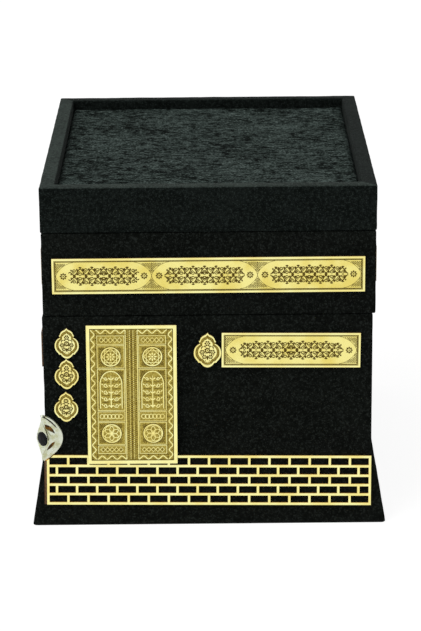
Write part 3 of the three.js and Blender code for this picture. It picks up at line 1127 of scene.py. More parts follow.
def drawn_curve(drawing: Drawing, **settings: object) -> bpy.types.Mesh:
    """Runs a section along every line of a drawing.

    Args:
        drawing: the lines; half a line's width is the section's scale there.
        settings: the curve's properties, its section among them.

    Returns:
        The mesh.
    """
    data = bpy.data.curves.new("lines", "CURVE")
    for key, value in settings.items():
        setattr(data, key, value)
    for stroke in drawing:
        spline = data.splines.new("POLY")
        spline.points.add(len(stroke.points) - 1)
        spline.use_cyclic_u = stroke.closed
        for i, (x, y) in enumerate(stroke.points):
            width = stroke.widths if isinstance(stroke.widths, float) else stroke.widths[i]
            spline.points[i].co = (x, y, stroke.height, 1)
            spline.points[i].radius = width / 2
    return evaluated(data)


def engraved(drawing: Drawing, height: float, flatness: float = 0.34) -> Workpiece:
    """Turns a drawing into thin relief that lies on a plate.

    Args:
        drawing: the strokes, in the plate's millimetres.
        height: the face that they lie on.
        flatness: how high a stroke stands for its width.

    Returns:
        A workpiece with every stroke as a low ridge.
    """
    work = Workpiece(drawn_curve(
        drawing, dimensions="3D", twist_mode="Z_UP", bevel_depth=1.0, bevel_resolution=0, use_fill_caps=True,
    ))
    work.bm.transform(Matrix.Translation((0, 0, height)) @ Matrix.Diagonal((1, 1, flatness, 1)))
    return work


def plate_place(node: str, side: Side, slant: float = 0.0, lean: float = 0.0) -> Matrix:
    """Where the middle of a packed plate is and how it stands.

    Args:
        node: the plate's node.
        side: the side of the box that it is on.
        slant: its turn in its own plane, in degrees.
        lean: how far its head leans back, in degrees.

    Returns:
        The matrix from the plate's own frame, Z out of its face, to the box.
    """
    low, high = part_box(node)
    upright = Matrix.Rotation(math.radians(90 - lean), 4, "X")
    slanted = Matrix.Rotation(math.radians(slant), 4, "Z")
    return Matrix.Translation((low + high) / 2) @ side.turn @ upright @ slanted


@dataclass
class GiltPlate:
    """A gilt plate with a raised border and engraved ornament."""

    node: str
    side: Side
    body: Body
    finishes: Wardrobe
    half: tuple[float, float]
    slant: float = 0.0
    lean: float = 0.0
    thickness: float = 1.5
    border: float = 2.6
    rise: float = 0.3
    round_edge: float = 0.16
    line: float = 0.36

    @property
    def face(self) -> float:
        """Height of the border's face above the middle of the plate."""
        return self.thickness / 2

    @property
    def field_face(self) -> float:
        """Height of the sunk field."""
        return self.face - self.rise

    def fit(self, replaces: bool) -> Fit:
        """The plate's place, standing for its node or lying on the piece that does."""
        place = plate_place(self.node, self.side, self.slant, self.lean)
        return Fit(self.body, Slot.GILT, (self.node,) if replaces else (), place)

    def blank(self) -> Workpiece:
        """The bare plate: its border, a dark slope, the field and the burnt sides."""
        work = Workpiece()
        upper = work.slab(rectangle(*self.half), -self.face, self.face)
        bmesh.ops.inset_region(work.bm, faces=[upper], thickness=self.border, use_even_offset=True)
        bmesh.ops.inset_region(work.bm, faces=[upper], thickness=self.rise, use_even_offset=True)
        bmesh.ops.translate(work.bm, vec=(0, 0, -self.rise), verts=upper.verts)
        work.round_rim(self.round_edge)
        work.sort_faces(self.field_face)
        return work

    def drawing(self) -> Drawing:
        """The plate's engraved lines."""
        inner = [size - self.border - self.rise - self.line / 2 for size in self.half]
        return [frame_line(inner[0], inner[1], self.line)]

    def sheet(self, field_finish: bpy.types.Material) -> None:
        """Builds the bare plate, with a finish for its field.

        Args:
            field_finish: the material of its field.
        """
        wear = self.finishes
        finishes = [wear.gilt, field_finish, wear.burnt, wear.line]
        self.blank().finish(self.node + "_sheet", finishes, self.fit(True), 30)

    def relief(self, name: str, drawing: Drawing, height: float, finish: bpy.types.Material) -> None:
        """Lays a drawing on the plate as a piece of its own.

        Args:
            name: what follows the plate's node in the piece's name.
            drawing: its lines.
            height: the face that they lie on.
            finish: its material.
        """
        engraved(drawing, height).finish(f"{self.node}_{name}", [finish], self.fit(False), None)

    def make(self) -> None:
        """Builds the plate and its engraving."""
        self.sheet(self.finishes.field)
        self.relief("engraving", self.drawing(), self.field_face, self.finishes.line)


@dataclass
class CartouchePlate(GiltPlate):
    """A plate with a row of oval cartouches, scrollwork in each and lace between them."""

    cells: tuple[float, ...] = (0.0, 1.0)
    cell_end: float = 11.4
    end_power: float = 1.6
    rosette_inset: float = 4.9
    rosette_radius: float = 2.5
    scroll_gap: float = 7.6
    scroll_half_height: float = 6.1
    lace_pitch: float = 1.25
    line: float = 1.0

    def drawing(self) -> Drawing:
        """Frame lines, then each cartouche with its rosettes, scrollwork and lace."""
        drawing = super().drawing()
        half_x, half_y = (size - self.border - self.rise - self.line for size in self.half)
        for start, end in zip(self.cells, self.cells[1:]):
            low, high = half_x * (2 * start - 1), half_x * (2 * end - 1)
            middle, reach = (low + high) / 2, (high - low) / 2
            drawing += moved(self.cell(reach, half_y), middle, 0)
        return drawing

    def cell(self, reach: float, height: float) -> Drawing:
        """One cartouche, centred on the origin.

        Args:
            reach: half its length, up to its pointed ends.
            height: half the height of the field.

        Returns:
            Its drawing.
        """
        flat = reach - self.cell_end

        def outside(x: float, y: float) -> bool:
            """Whether a place is in the corners outside the oval."""
            over = max(0.0, abs(x) - flat) / self.cell_end
            return over ** self.end_power + (abs(y) / height) ** self.end_power > 1.05

        power = 2 / self.end_power
        turns = [math.radians(90 * i / 10) for i in range(11)]
        end = self.cell_end
        quarter = tuple((flat + end * math.cos(t) ** power, height * math.sin(t) ** power) for t in turns)
        drawing = upturned(mirrored([Stroke(quarter, 0.28)]))
        pitch = reach / math.ceil(reach / self.lace_pitch)
        drawing += lace(outside, reach + 0.01, height - 0.4, pitch)
        drawing += mirrored(moved(rosette(self.rosette_radius, 8, 1.2), reach - self.rosette_inset, 0))
        drawing += scroll_block(reach - self.scroll_gap, self.scroll_half_height)
        return drawing


@dataclass
class Medallion(GiltPlate):
    """A pointed, lobed medallion with a posy, which its half sizes don't shape: its scale does."""

    scale: float = 1.0
    top: float = 12.15
    outline_steps: int = 8

    def outline(self, scale: float) -> list[Point]:
        """The medallion's edge.

        Args:
            scale: a share of its drawn size.

        Returns:
            Its corners, anticlockwise.
        """
        steps = self.outline_steps
        down = [
            *quadratic((0, self.top), (0.7, 10.9), (1.65, 10.45), steps // 2),
            *bezier(((1.65, 10.45), (3.3, 9.9), (4.7, 8.6), (4.9, 7.1)), steps)[:-1],
            *quadratic((4.9, 7.1), (5.1, 6.5), (5.75, 5.97), steps // 2),
            *quadratic((5.75, 5.97), (5.2, 5.4), (5, 4.5), steps // 2),
            *bezier(((5, 4.5), (8.4, 2.9), (9.1, 0.2), (9.1, -2.4)), steps)[:-1],
            *bezier(((9.1, -2.4), (9.1, -6), (6.6, -7.2), (5.8, -8.95)), steps)[:-1],
            *quadratic((5.8, -8.95), (5.1, -8.7), (4.6, -8.95), steps // 2),
            *bezier(((4.6, -8.95), (4, -9.9), (2.6, -12), (0, -self.top)), steps),
        ]
        up = [(-x, y) for x, y in reversed(down[1:-1])]
        return [(x * scale, y * scale) for x, y in reversed(down + up)]

    def blank(self) -> Workpiece:
        """The bare medallion with a rounded edge."""
        work = Workpiece()
        work.slab(self.outline(self.scale), -self.face, self.face)
        work.round_rim(self.round_edge * 0.7)
        work.sort_faces(0)
        return work

    @property
    def field_face(self) -> float:
        """The medallion's field is level with its edge."""
        return self.face

    def drawing(self) -> Drawing:
        """The contour's two edges, and a posy of small flowers with leaves between them."""
        pairs = [
            *moved(rosette(1.95, 6, 1.3), 3.5, -1.5),
            *moved(rosette(1.7, 6, 1.2), 2.1, -4.7),
            leaf(2.2, 0.9, 0.5).moved(4.3, 1.3, 2.2),
            leaf(1.9, 0.8, 0.5).moved(1.1, 1.7, 0.9),
            leaf(1.8, 0.7, -0.4).moved(0.9, 2.4, 0.2),
            *(dot(1.3, -7.2, 0.4), dot(0.9, 7.6, 0.35), dot(1.5, -2.2, 0.4)),
            *(dot(3.9, 0.9, 0.45), dot(2.4, 6.0, 0.35), dot(3.9, -3.7, 0.4)),
        ]
        posy = [
            Stroke(tuple(self.outline(0.7)), 0.3, True),
            Stroke(tuple(self.outline(0.865)), 0.3, True),
            *moved(rosette(2.1, 6, 1.35), 0, 4.6),
            *moved(rosette(2.3, 7, 1.4), 0, -0.3),
            leaf(3.4, 1.4).moved(0, -7.0, math.pi / 2),
            *mirrored(pairs),
        ]
        return [stroke.scaled(self.scale) for stroke in posy]

    def make(self) -> None:
        """Builds the medallion, with its broad contour in the lighter engraving."""
        super().make()
        contour = Stroke(tuple(self.outline(0.785 * self.scale)), 1.35, True)
        self.relief("contour", [contour], self.face - 0.01, self.finishes.contour)


@dataclass
class DoorPlate(GiltPlate):
    """A framed pair of door leaves with a strip between them.

    Each leaf has, from its head down, a lozenge strip, a star panel, a tall arched panel, a chain
    strip and a panel with an interlaced flower. The border is a running wave with buds.
    """

    edge_band: float = 4.0
    strip: float = 8.0
    panel_gap: float = 0.9
    waves: tuple[int, int] = (27, 6)
    beads: int = 62

    @property
    def leaf_half(self) -> Point:
        """Half width and half height of one leaf."""
        width = self.half[0] - self.border - self.edge_band - self.strip / 2
        return width / 2, self.half[1] - self.border - self.edge_band

    def wave(self, length: float, count: int) -> Layers:
        """A running wave with buds along X, centred on the origin.

        Args:
            length: of the run.
            count: the number of half waves.

        Returns:
            The bright wave and the dark buds.
        """
        swing, edge = self.edge_band * 0.3, self.edge_band * 0.47
        steps = count * 4
        stem = tuple(
            (length * (i / steps - 0.5), swing * math.cos(math.pi * count * i / steps))
            for i in range(steps + 1)
        )
        buds: Drawing = []
        for i in range(count):
            x = length * ((i + 0.5) / count - 0.5)
            side = -1 if i % 2 else 1
            for turn in (-0.5, 0.5):
                bud = (x + turn * length / count, side * turn * swing * 3.2)
                buds += [dot(*bud, 0.55), leaf(1.5, 0.55).moved(bud[0] - 0.75, bud[1] * 0.35)]
        edges = [Stroke(((-length / 2, y), (length / 2, y)), 0.22) for y in (-edge, edge)]
        return [Stroke(stem, 0.62)], buds + edges

    def panels(self) -> list[tuple[Callable[[float, float], Layers], float, float]]:
        """The motif, middle height and half height of each panel of a leaf, from its head down."""
        half_height = self.leaf_half[1]
        shares = (
            (self.lozenges, 0.075), (self.star, 0.2), (self.arch, 0.37), (self.chain, 0.085),
            (self.flower, 0.2), (self.lozenges, 0.07),
        )
        room = 2 * half_height - self.panel_gap * (len(shares) + 1)
        top = half_height - self.panel_gap
        placed = []
        for motif, share in shares:
            height = room * share
            placed.append((motif, top - height / 2, height / 2))
            top -= height + self.panel_gap
        return placed

    def ringed(self, half_x: float, half_y: float, width: float) -> tuple[float, Drawing, Drawing]:
        """A ring in a panel with lace in the panel's corners, and a dark ring round it as a painted shadow.

        Args:
            half_x, half_y: the panel's half sizes.
            width: of the ring's bright line.

        Returns:
            The ring's radius, its bright lines and its dark ones.
        """
        radius = min(half_x, half_y) * 0.86
        # A dark ring just outside the bright one: painted shadow, so that the ring reads as raised.
        dark = [ring(0, 0, radius * 1.1, 0.5, 28)]
        dark += lace(lambda x, y: math.hypot(x, y) > radius * 1.16, half_x - 0.6, half_y - 0.6, 1.35)
        return radius, [ring(0, 0, radius, width, 28)], dark

    def star(self, half_x: float, half_y: float) -> Layers:
        """An eight-pointed star in a ring.

        Args:
            half_x, half_y: the panel's half sizes.

        Returns:
            Its bright and its dark lines.
        """
        radius, bright, dark = self.ringed(half_x, half_y, 0.7)
        for start in (0, 45):
            corners = tuple((x, y) for x, y, _ in around(4, radius * 0.9, start))
            bright.append(Stroke(corners, 0.5, True))
        bright += rosette(radius * 0.5, 8, 0.95)
        for reach, size in ((0.84, 0.5), (0.55, 0.45)):
            dark += [dot(x, y, size) for x, y, _ in around(8, radius * reach, 22.5)]
        return bright, dark

    def flower(self, half_x: float, half_y: float) -> Layers:
        """Six interlaced circles in a double ring.

        Args:
            half_x, half_y: the panel's half sizes.

        Returns:
            Its bright and its dark lines.
        """
        radius, bright, dark = self.ringed(half_x, half_y, 0.55)
        small = radius * 0.46
        bright += [ring(x, y, small, 0.42, 14) for x, y, _ in around(6, small)]
        dark += [dot(x, y, 0.36) for x, y, _ in around(6, 0.7 * radius, 30)]
        return bright, dark

    def arch(self, half_x: float, half_y: float) -> Layers:
        """A pointed arch that holds a small tree with mirrored tendrils.

        Args:
            half_x, half_y: the panel's half sizes.

        Returns:
            Its bright and its dark lines.
        """
        spring = half_y * 0.35
        foot, wall = 1 - half_y, half_x - 1.2
        side = [(wall, foot), (wall, spring)]
        shares = (0.2, 0.4, 0.6, 0.8, 1.0)
        rise = half_y - 1 - spring
        head = [(wall * (1 - s ** 1.7), spring + rise * math.sin(s * math.pi / 2)) for s in shares]
        bright = mirrored([Stroke(tuple(side + head), 0.62)])
        bright.append(Stroke(((0, foot + 0.5), (0, half_y - 4)), (0.7, 0.3)))
        levels = 5
        span = 2 * half_y - 9
        for i in range(levels):
            y = foot + 2 + span * i / (levels - 1)
            reach = min(span / levels * 0.42, (wall - 1.2) * (0.3 if i < levels - 1 else 0.2))
            bright += mirrored([spiral(wall * 0.5, y, reach, 0.5, 180, 1.2)])
            bright += mirrored([leaf(wall * 0.5 - reach, 0.9, 0.5).moved(0.1, y - 0.8, 0.5)])
            bright += mirrored([leaf(reach * 1.2, 0.7, -0.4).moved(wall * 0.5 + reach, y, 0.9)])
        # A dark line offset beside the arch: painted shadow, so that the arch reads as raised.
        dark = mirrored([Stroke(tuple((x + 0.55, y + 0.2) for x, y in side + head[:-1]), 0.35)])
        dark += mirrored([dot(wall * 0.5, foot + 2 + span * i / (levels - 1), 0.35) for i in range(levels)])
        for i in range(levels - 1):
            y = foot + 2 + span * (i + 0.5) / (levels - 1)
            dark += mirrored([dot(wall * part, y, 0.5) for part in (0.22, 0.5, 0.78)])
            dark += mirrored([leaf(1.6, 0.45).moved(wall * part - 0.8, y) for part in (0.36, 0.64)])

        def spandrel(x: float, y: float) -> bool:
            """Whether a place is above the arch's shoulder."""
            along = max(0.0, 1 - x / wall) ** (1 / 1.7)
            return x > 0 and y > spring + rise * math.sin(along * math.pi / 2) + 0.9

        dark += mirrored(lace(spandrel, half_x - 0.5, half_y - 0.5, 1.3))
        return bright, dark

    @staticmethod
    def spread(half_x: float, count: int) -> tuple[float, list[float]]:
        """The pitch and the places of some figures in a row across a panel."""
        pitch = 2 * (half_x - 1) / count
        return pitch, [-half_x + 1 + pitch * (i + 0.5) for i in range(count)]

    def chain(self, half_x: float, half_y: float) -> Layers:
        """A chain of linked circles.

        Args:
            half_x, half_y: the panel's half sizes.

        Returns:
            Its bright and its dark lines.
        """
        pitch, middles = self.spread(half_x, 6)
        bright = [ring(x, 0, min(half_y * 0.62, pitch * 0.6), 0.4, 12) for x in middles]
        return bright, [dot(x, 0, 0.4) for x in middles]

    def lozenges(self, half_x: float, half_y: float) -> Layers:
        """A row of lozenges with a dot in each.

        Args:
            half_x, half_y: the panel's half sizes.

        Returns:
            Its bright and its dark lines.
        """
        pitch, middles = self.spread(half_x, 5)
        reach, rise = pitch / 2, half_y * 0.7
        bright = [Stroke(((x - reach, 0), (x, -rise), (x + reach, 0), (x, rise)), 0.4, True) for x in middles]
        return bright, [dot(x, 0, 0.55) for x in middles]

    def door_leaf(self) -> Layers:
        """All panels of one leaf, centred on the leaf."""
        half_x = self.leaf_half[0] - self.panel_gap
        bright, dark = [], []
        for motif, middle, half_y in self.panels():
            lines, grounds = motif(half_x - 0.5, half_y - 0.4)
            bright += moved([frame_line(half_x, half_y, 0.5), *lines], 0, middle)
            # A dark frame just outside each bright panel frame: painted shadow, so that the frame reads as
            # raised.
            dark += moved([frame_line(half_x + 0.42, half_y + 0.42, 0.3), *grounds], 0, middle)
        return bright, dark

    def layers(self) -> Layers:
        """The bright and the dark lines of the whole door."""
        inner_x, inner_y = (size - self.border for size in self.half)
        middle_x = self.strip / 2 + self.leaf_half[0]
        bright, dark = (moved(lines, middle_x, 0) for lines in self.door_leaf())
        upright = self.wave(2 * inner_y - 1.5, self.waves[0])
        level = self.wave(self.leaf_half[0] * 2, self.waves[1])
        band = self.edge_band / 2
        for target, run, row in ((bright, upright[0], level[0]), (dark, upright[1], level[1])):
            target += moved(run, inner_x - band, 0, math.pi / 2)
            target += moved(row, middle_x, inner_y - band)
            target += moved(row, middle_x, -inner_y + band, math.pi)
        bright.append(self.upright(self.strip / 2, inner_y - 1, 0.5))
        for i in range(self.beads):
            y = (inner_y - 1.6) * (2 * i / (self.beads - 1) - 1)
            dark += [dot(self.strip * 0.36, y, 0.5), dot(self.strip * 0.06, y, 0.34)]
            bright.append(dot(self.strip * 0.15, y, 0.36))
        dark.append(self.upright(self.strip * 0.24, inner_y - 1, 0.3))
        bright, dark = mirrored(bright), mirrored(dark)
        dark.append(self.upright(0, inner_y - 0.6, 0.45))
        inset = 0.3 + self.line / 2
        dark.append(frame_line(inner_x - inset, inner_y - inset, self.line))
        bright.append(Stroke(tuple(arc((0, inner_y + 0.1), 1.7, 0, 180)), 0.5))
        return bright, dark

    @staticmethod
    def upright(x: float, reach: float, width: float) -> Stroke:
        """An upright line as far up as down."""
        return Stroke(((x, -reach), (x, reach)), width)

    def make(self) -> None:
        """Builds the door: the sheet, its bright relief and its dark lines."""
        self.sheet(self.finishes.ground)
        bright, dark = self.layers()
        self.relief("relief", bright, self.field_face + 0.04, self.finishes.gilt)
        self.relief("engraving", dark, self.field_face, self.finishes.line)


@dataclass
class CaseForm:
    """Sizes of the cases that the plinth and its lattices are worked out from."""

    half: tuple[float, float] = (109.5, 131.5)
    plinth_top: float = 56.6
    flare: float = 9.4
    foot: float = 1.0

    @property
    def slope(self) -> float:
        """How far the plinth leans out, in radians."""
        return math.atan2(self.flare, self.plinth_top - self.foot)

    def flare_at(self, height: float) -> float:
        """How far the plinth stands out past the case's wall at a height."""
        return self.flare * (self.plinth_top - height) / (self.plinth_top - self.foot)


@dataclass
class BrickLattice:
    """A lattice of running-bond bricks, cut from gilt sheet, on the front or back slope."""

    side: Side
    finishes: Wardrobe
    form: CaseForm
    across: float = 0.0
    slant: float = 0.0
    notch: tuple[Point, ...] = ()
    left_bevel: float = 0.0
    width: float = 218.0
    bricks: int = 16
    rows: int = 5
    line: float = 1.6
    pitch: float = 6.44
    down: float = 26.8
    short: float = 0.434
    thickness: float = 1.5
    gap: float = 0.3
    round_edge: float = 0.22

    def row_openings(self, row: int) -> list[Point]:
        """Start and end of every opening of a row, along X.

        Args:
            row: the row's number, from the bottom.

        Returns:
            The openings, from left to right.
        """
        step = (self.width - self.line) / self.bricks
        full, left, right = (step * part - self.line for part in (1, self.short, 1 - self.short))
        lengths = [full] * self.bricks if row % 2 == 0 else [left, *[full] * (self.bricks - 1), right]
        x = -self.width / 2 + self.line
        spans = []
        for length in lengths:
            spans.append((x, x + length))
            x += length + self.line
        return spans

    def sheet(self) -> Workpiece:
        """The flat lattice, one cell for every stretch between cuts, thickened and rounded."""
        height = self.rows * self.pitch + self.line
        spans = [self.row_openings(row) for row in range(self.rows)]
        cuts = {round(x, 4) for row in spans for span in row for x in span}
        xs = sorted(cuts | {-self.width / 2, self.width / 2})
        ys = [-height / 2]
        for row in range(self.rows):
            low = -height / 2 + self.line + row * self.pitch
            ys += [low, low + self.pitch - self.line]
        ys.append(height / 2)
        work = Workpiece()
        columns, lines = len(xs) - 1, len(ys) - 1
        bmesh.ops.create_grid(work.bm, x_segments=columns, y_segments=lines, size=0.5)
        for vertex in work.bm.verts:
            column = round((vertex.co.x + 0.5) * columns)
            level = round((vertex.co.y + 0.5) * lines)
            vertex.co = (xs[column], ys[level], -self.thickness / 2)
        openings = [face for face in work.bm.faces if self.in_opening(face.calc_center_median(), ys, spans)]
        bmesh.ops.delete(work.bm, geom=openings, context="FACES")
        if self.notch:
            self.cut_notch(work)
        work.extrude(work.bm.faces, self.thickness)
        bmesh.ops.recalc_face_normals(work.bm, faces=work.bm.faces)
        work.round_rim(self.round_edge)
        for vertex in work.bm.verts:
            if vertex.co.x < -self.width / 2 + 0.01 and vertex.co.z < 0:
                vertex.co.x -= self.left_bevel
        work.bm.normal_update()
        for face in work.bm.faces:
            bevelled = self.left_bevel > 0 and face.calc_center_median().x < -self.width / 2
            face.material_index = 2 if bevelled else (0 if face.normal.z > 0.95 else 1)
        return work

    def in_opening(self, middle: Vector, ys: Sequence[float], spans: Sequence[Sequence[Point]]) -> bool:
        """Whether a cell of the grid lies in an opening.

        Args:
            middle: the cell's middle.
            ys: the grid's lines across.
            spans: the openings of every row.

        Returns:
            Whether it does.
        """
        for row, openings in enumerate(spans):
            if ys[2 * row + 1] < middle.y < ys[2 * row + 2]:
                return any(start < middle.x < end for start, end in openings)
        return False

    def cut_notch(self, work: Workpiece) -> None:
        """Cuts the notch, a bulging outline in the sheet's own frame, out of the flat sheet.

        Args:
            work: the flat sheet.
        """
        corners = [Vector((*corner, 0)) for corner in self.notch]
        sides = [
            (start, Vector((end.y - start.y, start.x - end.x, 0)).normalized())
            for start, end in zip(corners, corners[1:] + corners[:1])
        ]
        low_y, high_x = min(corner.y for corner in corners), max(corner.x for corner in corners)
        for start, outward in sides:
            near = [f for f in work.bm.faces if any(v.co.x < high_x and v.co.y > low_y for v in f.verts)]
            work.cut(start, outward, dict.fromkeys(item for f in near for item in (f, *f.edges, *f.verts)))
        middles = [(face, face.calc_center_median()) for face in work.bm.faces]
        inside = [
            face for face, middle in middles
            if all((middle - start).xy.dot(outward.xy) < 0 for start, outward in sides)
        ]
        bmesh.ops.delete(work.bm, geom=inside, context="FACES")

    def make(self) -> None:
        """Builds the lattice and lays it on the slope."""
        onto = Matrix.Translation(Vector((0, -self.form.half[1], self.form.plinth_top)) * MM)
        lift = self.gap + self.thickness / 2
        place = (
            self.side.turn @ onto @ Matrix.Rotation(math.pi / 2 - self.form.slope, 4, "X")
            @ Matrix.Translation(Vector((self.across, -self.down, lift)) * MM)
            @ Matrix.Rotation(math.radians(self.slant), 4, "Z")
        )
        node = f"brick_lattice_{self.side.name.lower()}"
        fit = Fit(Body.LOWER, Slot.GILT, (node,), place)
        wear = self.finishes
        self.sheet().finish(node + "_sheet", [wear.gilt, wear.edge, wear.burnt], fit, 30)


@dataclass
class ClothSkin:
    """Velvet drawn over the outside of a tier and turned over its edges."""

    node: str
    body: Body
    finishes: Wardrobe
    wall: float = 9.0
    edge: float = 1.5
    grid: float = 3.2
    cloth: float = 0.8
    lip: float = 1.0
    unevenness: float = 0.16
    grain: float = 9.0

    def shape(self) -> Workpiece:
        """The plain skin of a straight tier: outside, rims and lips."""
        low, high = packed_box(self.node)
        work = Workpiece()
        work.block(low, high)
        for sign in (1, -1):
            self.turn_over(work, sign, self.wall, self.lip)
        return work

    def turn_over(self, work: Workpiece, sign: int, wall: float, lip: float) -> None:
        """Turns the cloth over a rim.

        Args:
            work: the skin, closed at this end.
            sign: 1 for the upper rim and -1 for the lower one.
            wall: the width of the rim.
            lip: how far the cloth goes down inside.
        """
        end = work.facing((0, 0, sign))
        bmesh.ops.inset_region(work.bm, faces=end, thickness=wall, use_even_offset=True)
        floor = work.extrude(end, -sign * lip)
        bmesh.ops.delete(work.bm, geom=floor + [f for f in end if f.is_valid], context="FACES_ONLY")

    def soften(self, work: Workpiece) -> None:
        """Rounds the folds and moves the cloth a little in and out.

        Args:
            work: the skin.
        """
        work.bevel(work.folds(50), self.edge, 3)
        for axis in range(3):
            work.slice(axis, self.grid)
        work.bm.normal_update()
        for vertex in work.bm.verts:
            place = vertex.co / self.grain
            swell = noise.noise(place) + 0.5 * noise.noise(place * 2.3)
            vertex.co += vertex.normal * self.unevenness * swell

    @property
    def cloths(self) -> list[bpy.types.Material]:
        """The velvet that it is covered with."""
        return [self.finishes.velvet]

    def make(self) -> None:
        """Builds the skin."""
        work = self.shape()
        self.soften(work)
        fit = Fit(self.body, Slot.VELVET, (self.node,))
        piece = work.finish(self.node + "_cloth", self.cloths, fit, 60)
        add_modifier(piece, "SOLIDIFY", thickness=self.cloth * MM, offset=-1.0, use_rim=True)


@dataclass
class PlinthSkin(ClothSkin):
    """The lower case's skin, drawn out over the flared plinth and tucked under its foot."""

    form: CaseForm = field(default_factory=CaseForm)
    foot: float = 0.4
    tuck: float = 3.0

    def shape(self) -> Workpiece:
        """The skin with its flare."""
        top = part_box(self.node)[1].z / MM
        half_x, half_y = self.form.half
        work = Workpiece()
        work.block((-half_x, -half_y, self.foot), (half_x, half_y, top))
        self.turn_over(work, 1, self.wall, self.lip)
        work.cut((0, 0, self.form.plinth_top), (0, 0, 1))
        out = self.form.flare_at(self.foot)
        for vertex in work.bm.verts:
            if vertex.co.z < self.foot + work.weld:
                vertex.co.x += math.copysign(out, vertex.co.x)
                vertex.co.y += math.copysign(out, vertex.co.y)
        under = work.facing((0, 0, -1))
        bmesh.ops.inset_region(work.bm, faces=under, thickness=self.tuck, use_even_offset=True)
        bmesh.ops.delete(work.bm, geom=under, context="FACES_ONLY")
        return work


@dataclass
class LidSkin(ClothSkin):
    """The lid's skin, which goes down into the recess of its top."""

    edge: float = 2.4
    recess: float = 10.6
    rim: float = 10.0

    def shape(self) -> Workpiece:
        """The skin with its recess."""
        low, high = packed_box(self.node)
        work = Workpiece()
        work.block(low, high)
        self.turn_over(work, 1, self.rim, self.recess)
        self.turn_over(work, -1, self.wall, self.lip)
        # The tops of the left and front rims get the second cloth, a lighter velvet that paints sheen.
        for face in work.facing((0, 0, 1)):
            middle = face.calc_center_median()
            brushed = middle.x < low.x + self.rim or middle.y < low.y + self.rim
            face.material_index = int(brushed and middle.z > high.z - 0.1)
        return work

    @property
    def cloths(self) -> list[bpy.types.Material]:
        """The lid's velvet, painted lighter for the light it gets, and a still lighter copy on the tops of
        the left and front rims for painted sheen.
        """
        return [self.finishes.lid_velvet_painted_light, self.finishes.velvet_painted_sheen]


@dataclass
class PaddedTop:
    """The padded top in the lid's recess: a low crown of foam under crushed velvet."""

    finishes: Wardrobe
    node: str = "lid_top_pad"
    pitch: float = 1.9
    spread: float = 0.25
    shoulder: float = 3.4
    drop: float = 1.9
    flake: float = 6.5
    flake_depth: float = 0.22
    roll: float = 34.0
    roll_depth: float = 0.28

    def crown(self, x: float, y: float, half: Point, thick: float) -> float:
        """Height of the pad above its underside.

        Args:
            x, y: the place, from the middle.
            half: the pad's half sizes.
            thick: its full thickness.

        Returns:
            The height in millimetres.
        """
        edge = min(half[0] - abs(x), half[1] - abs(y))
        share = max(0.0, min(1.0, edge / self.shoulder))
        fall = self.drop * (1 - math.sqrt(1 - (1 - share) ** 2))
        swell = self.roll_depth * noise.noise(Vector((x, y, 0)) / self.roll)
        crushed = self.flake_depth * noise.turbulence(Vector((x / 1.4, y, 7)) / self.flake, 3, False)
        return thick - self.roll_depth - self.flake_depth + swell + crushed - fall

    def make(self) -> None:
        """Builds the pad as one closed form."""
        low, high = packed_box(self.node)
        middle = (low + high) / 2
        half = ((high.x - low.x) / 2 + self.spread, (high.y - low.y) / 2 + self.spread)
        thick = high.z - low.z
        work = Workpiece()
        columns, rows = (round(2 * size / self.pitch) for size in half)
        bmesh.ops.create_grid(work.bm, x_segments=columns, y_segments=rows, size=0.5)
        for vertex in work.bm.verts:
            vertex.co = (vertex.co.x * 2 * half[0], vertex.co.y * 2 * half[1], 0)
        work.extrude(work.bm.faces, thick)
        for vertex in work.bm.verts:
            if vertex.co.z > 0:
                vertex.co.z = self.crown(vertex.co.x, vertex.co.y, half, thick)
        bmesh.ops.dissolve_faces(work.bm, faces=work.facing((0, 0, -1)))
        bmesh.ops.translate(work.bm, vec=(middle.x, middle.y, low.z), verts=work.bm.verts)
        fit = Fit(Body.LID, Slot.CRUSHED, (self.node,))
        piece = work.finish("lid_pad_cloth", [self.finishes.crushed], fit, 70)


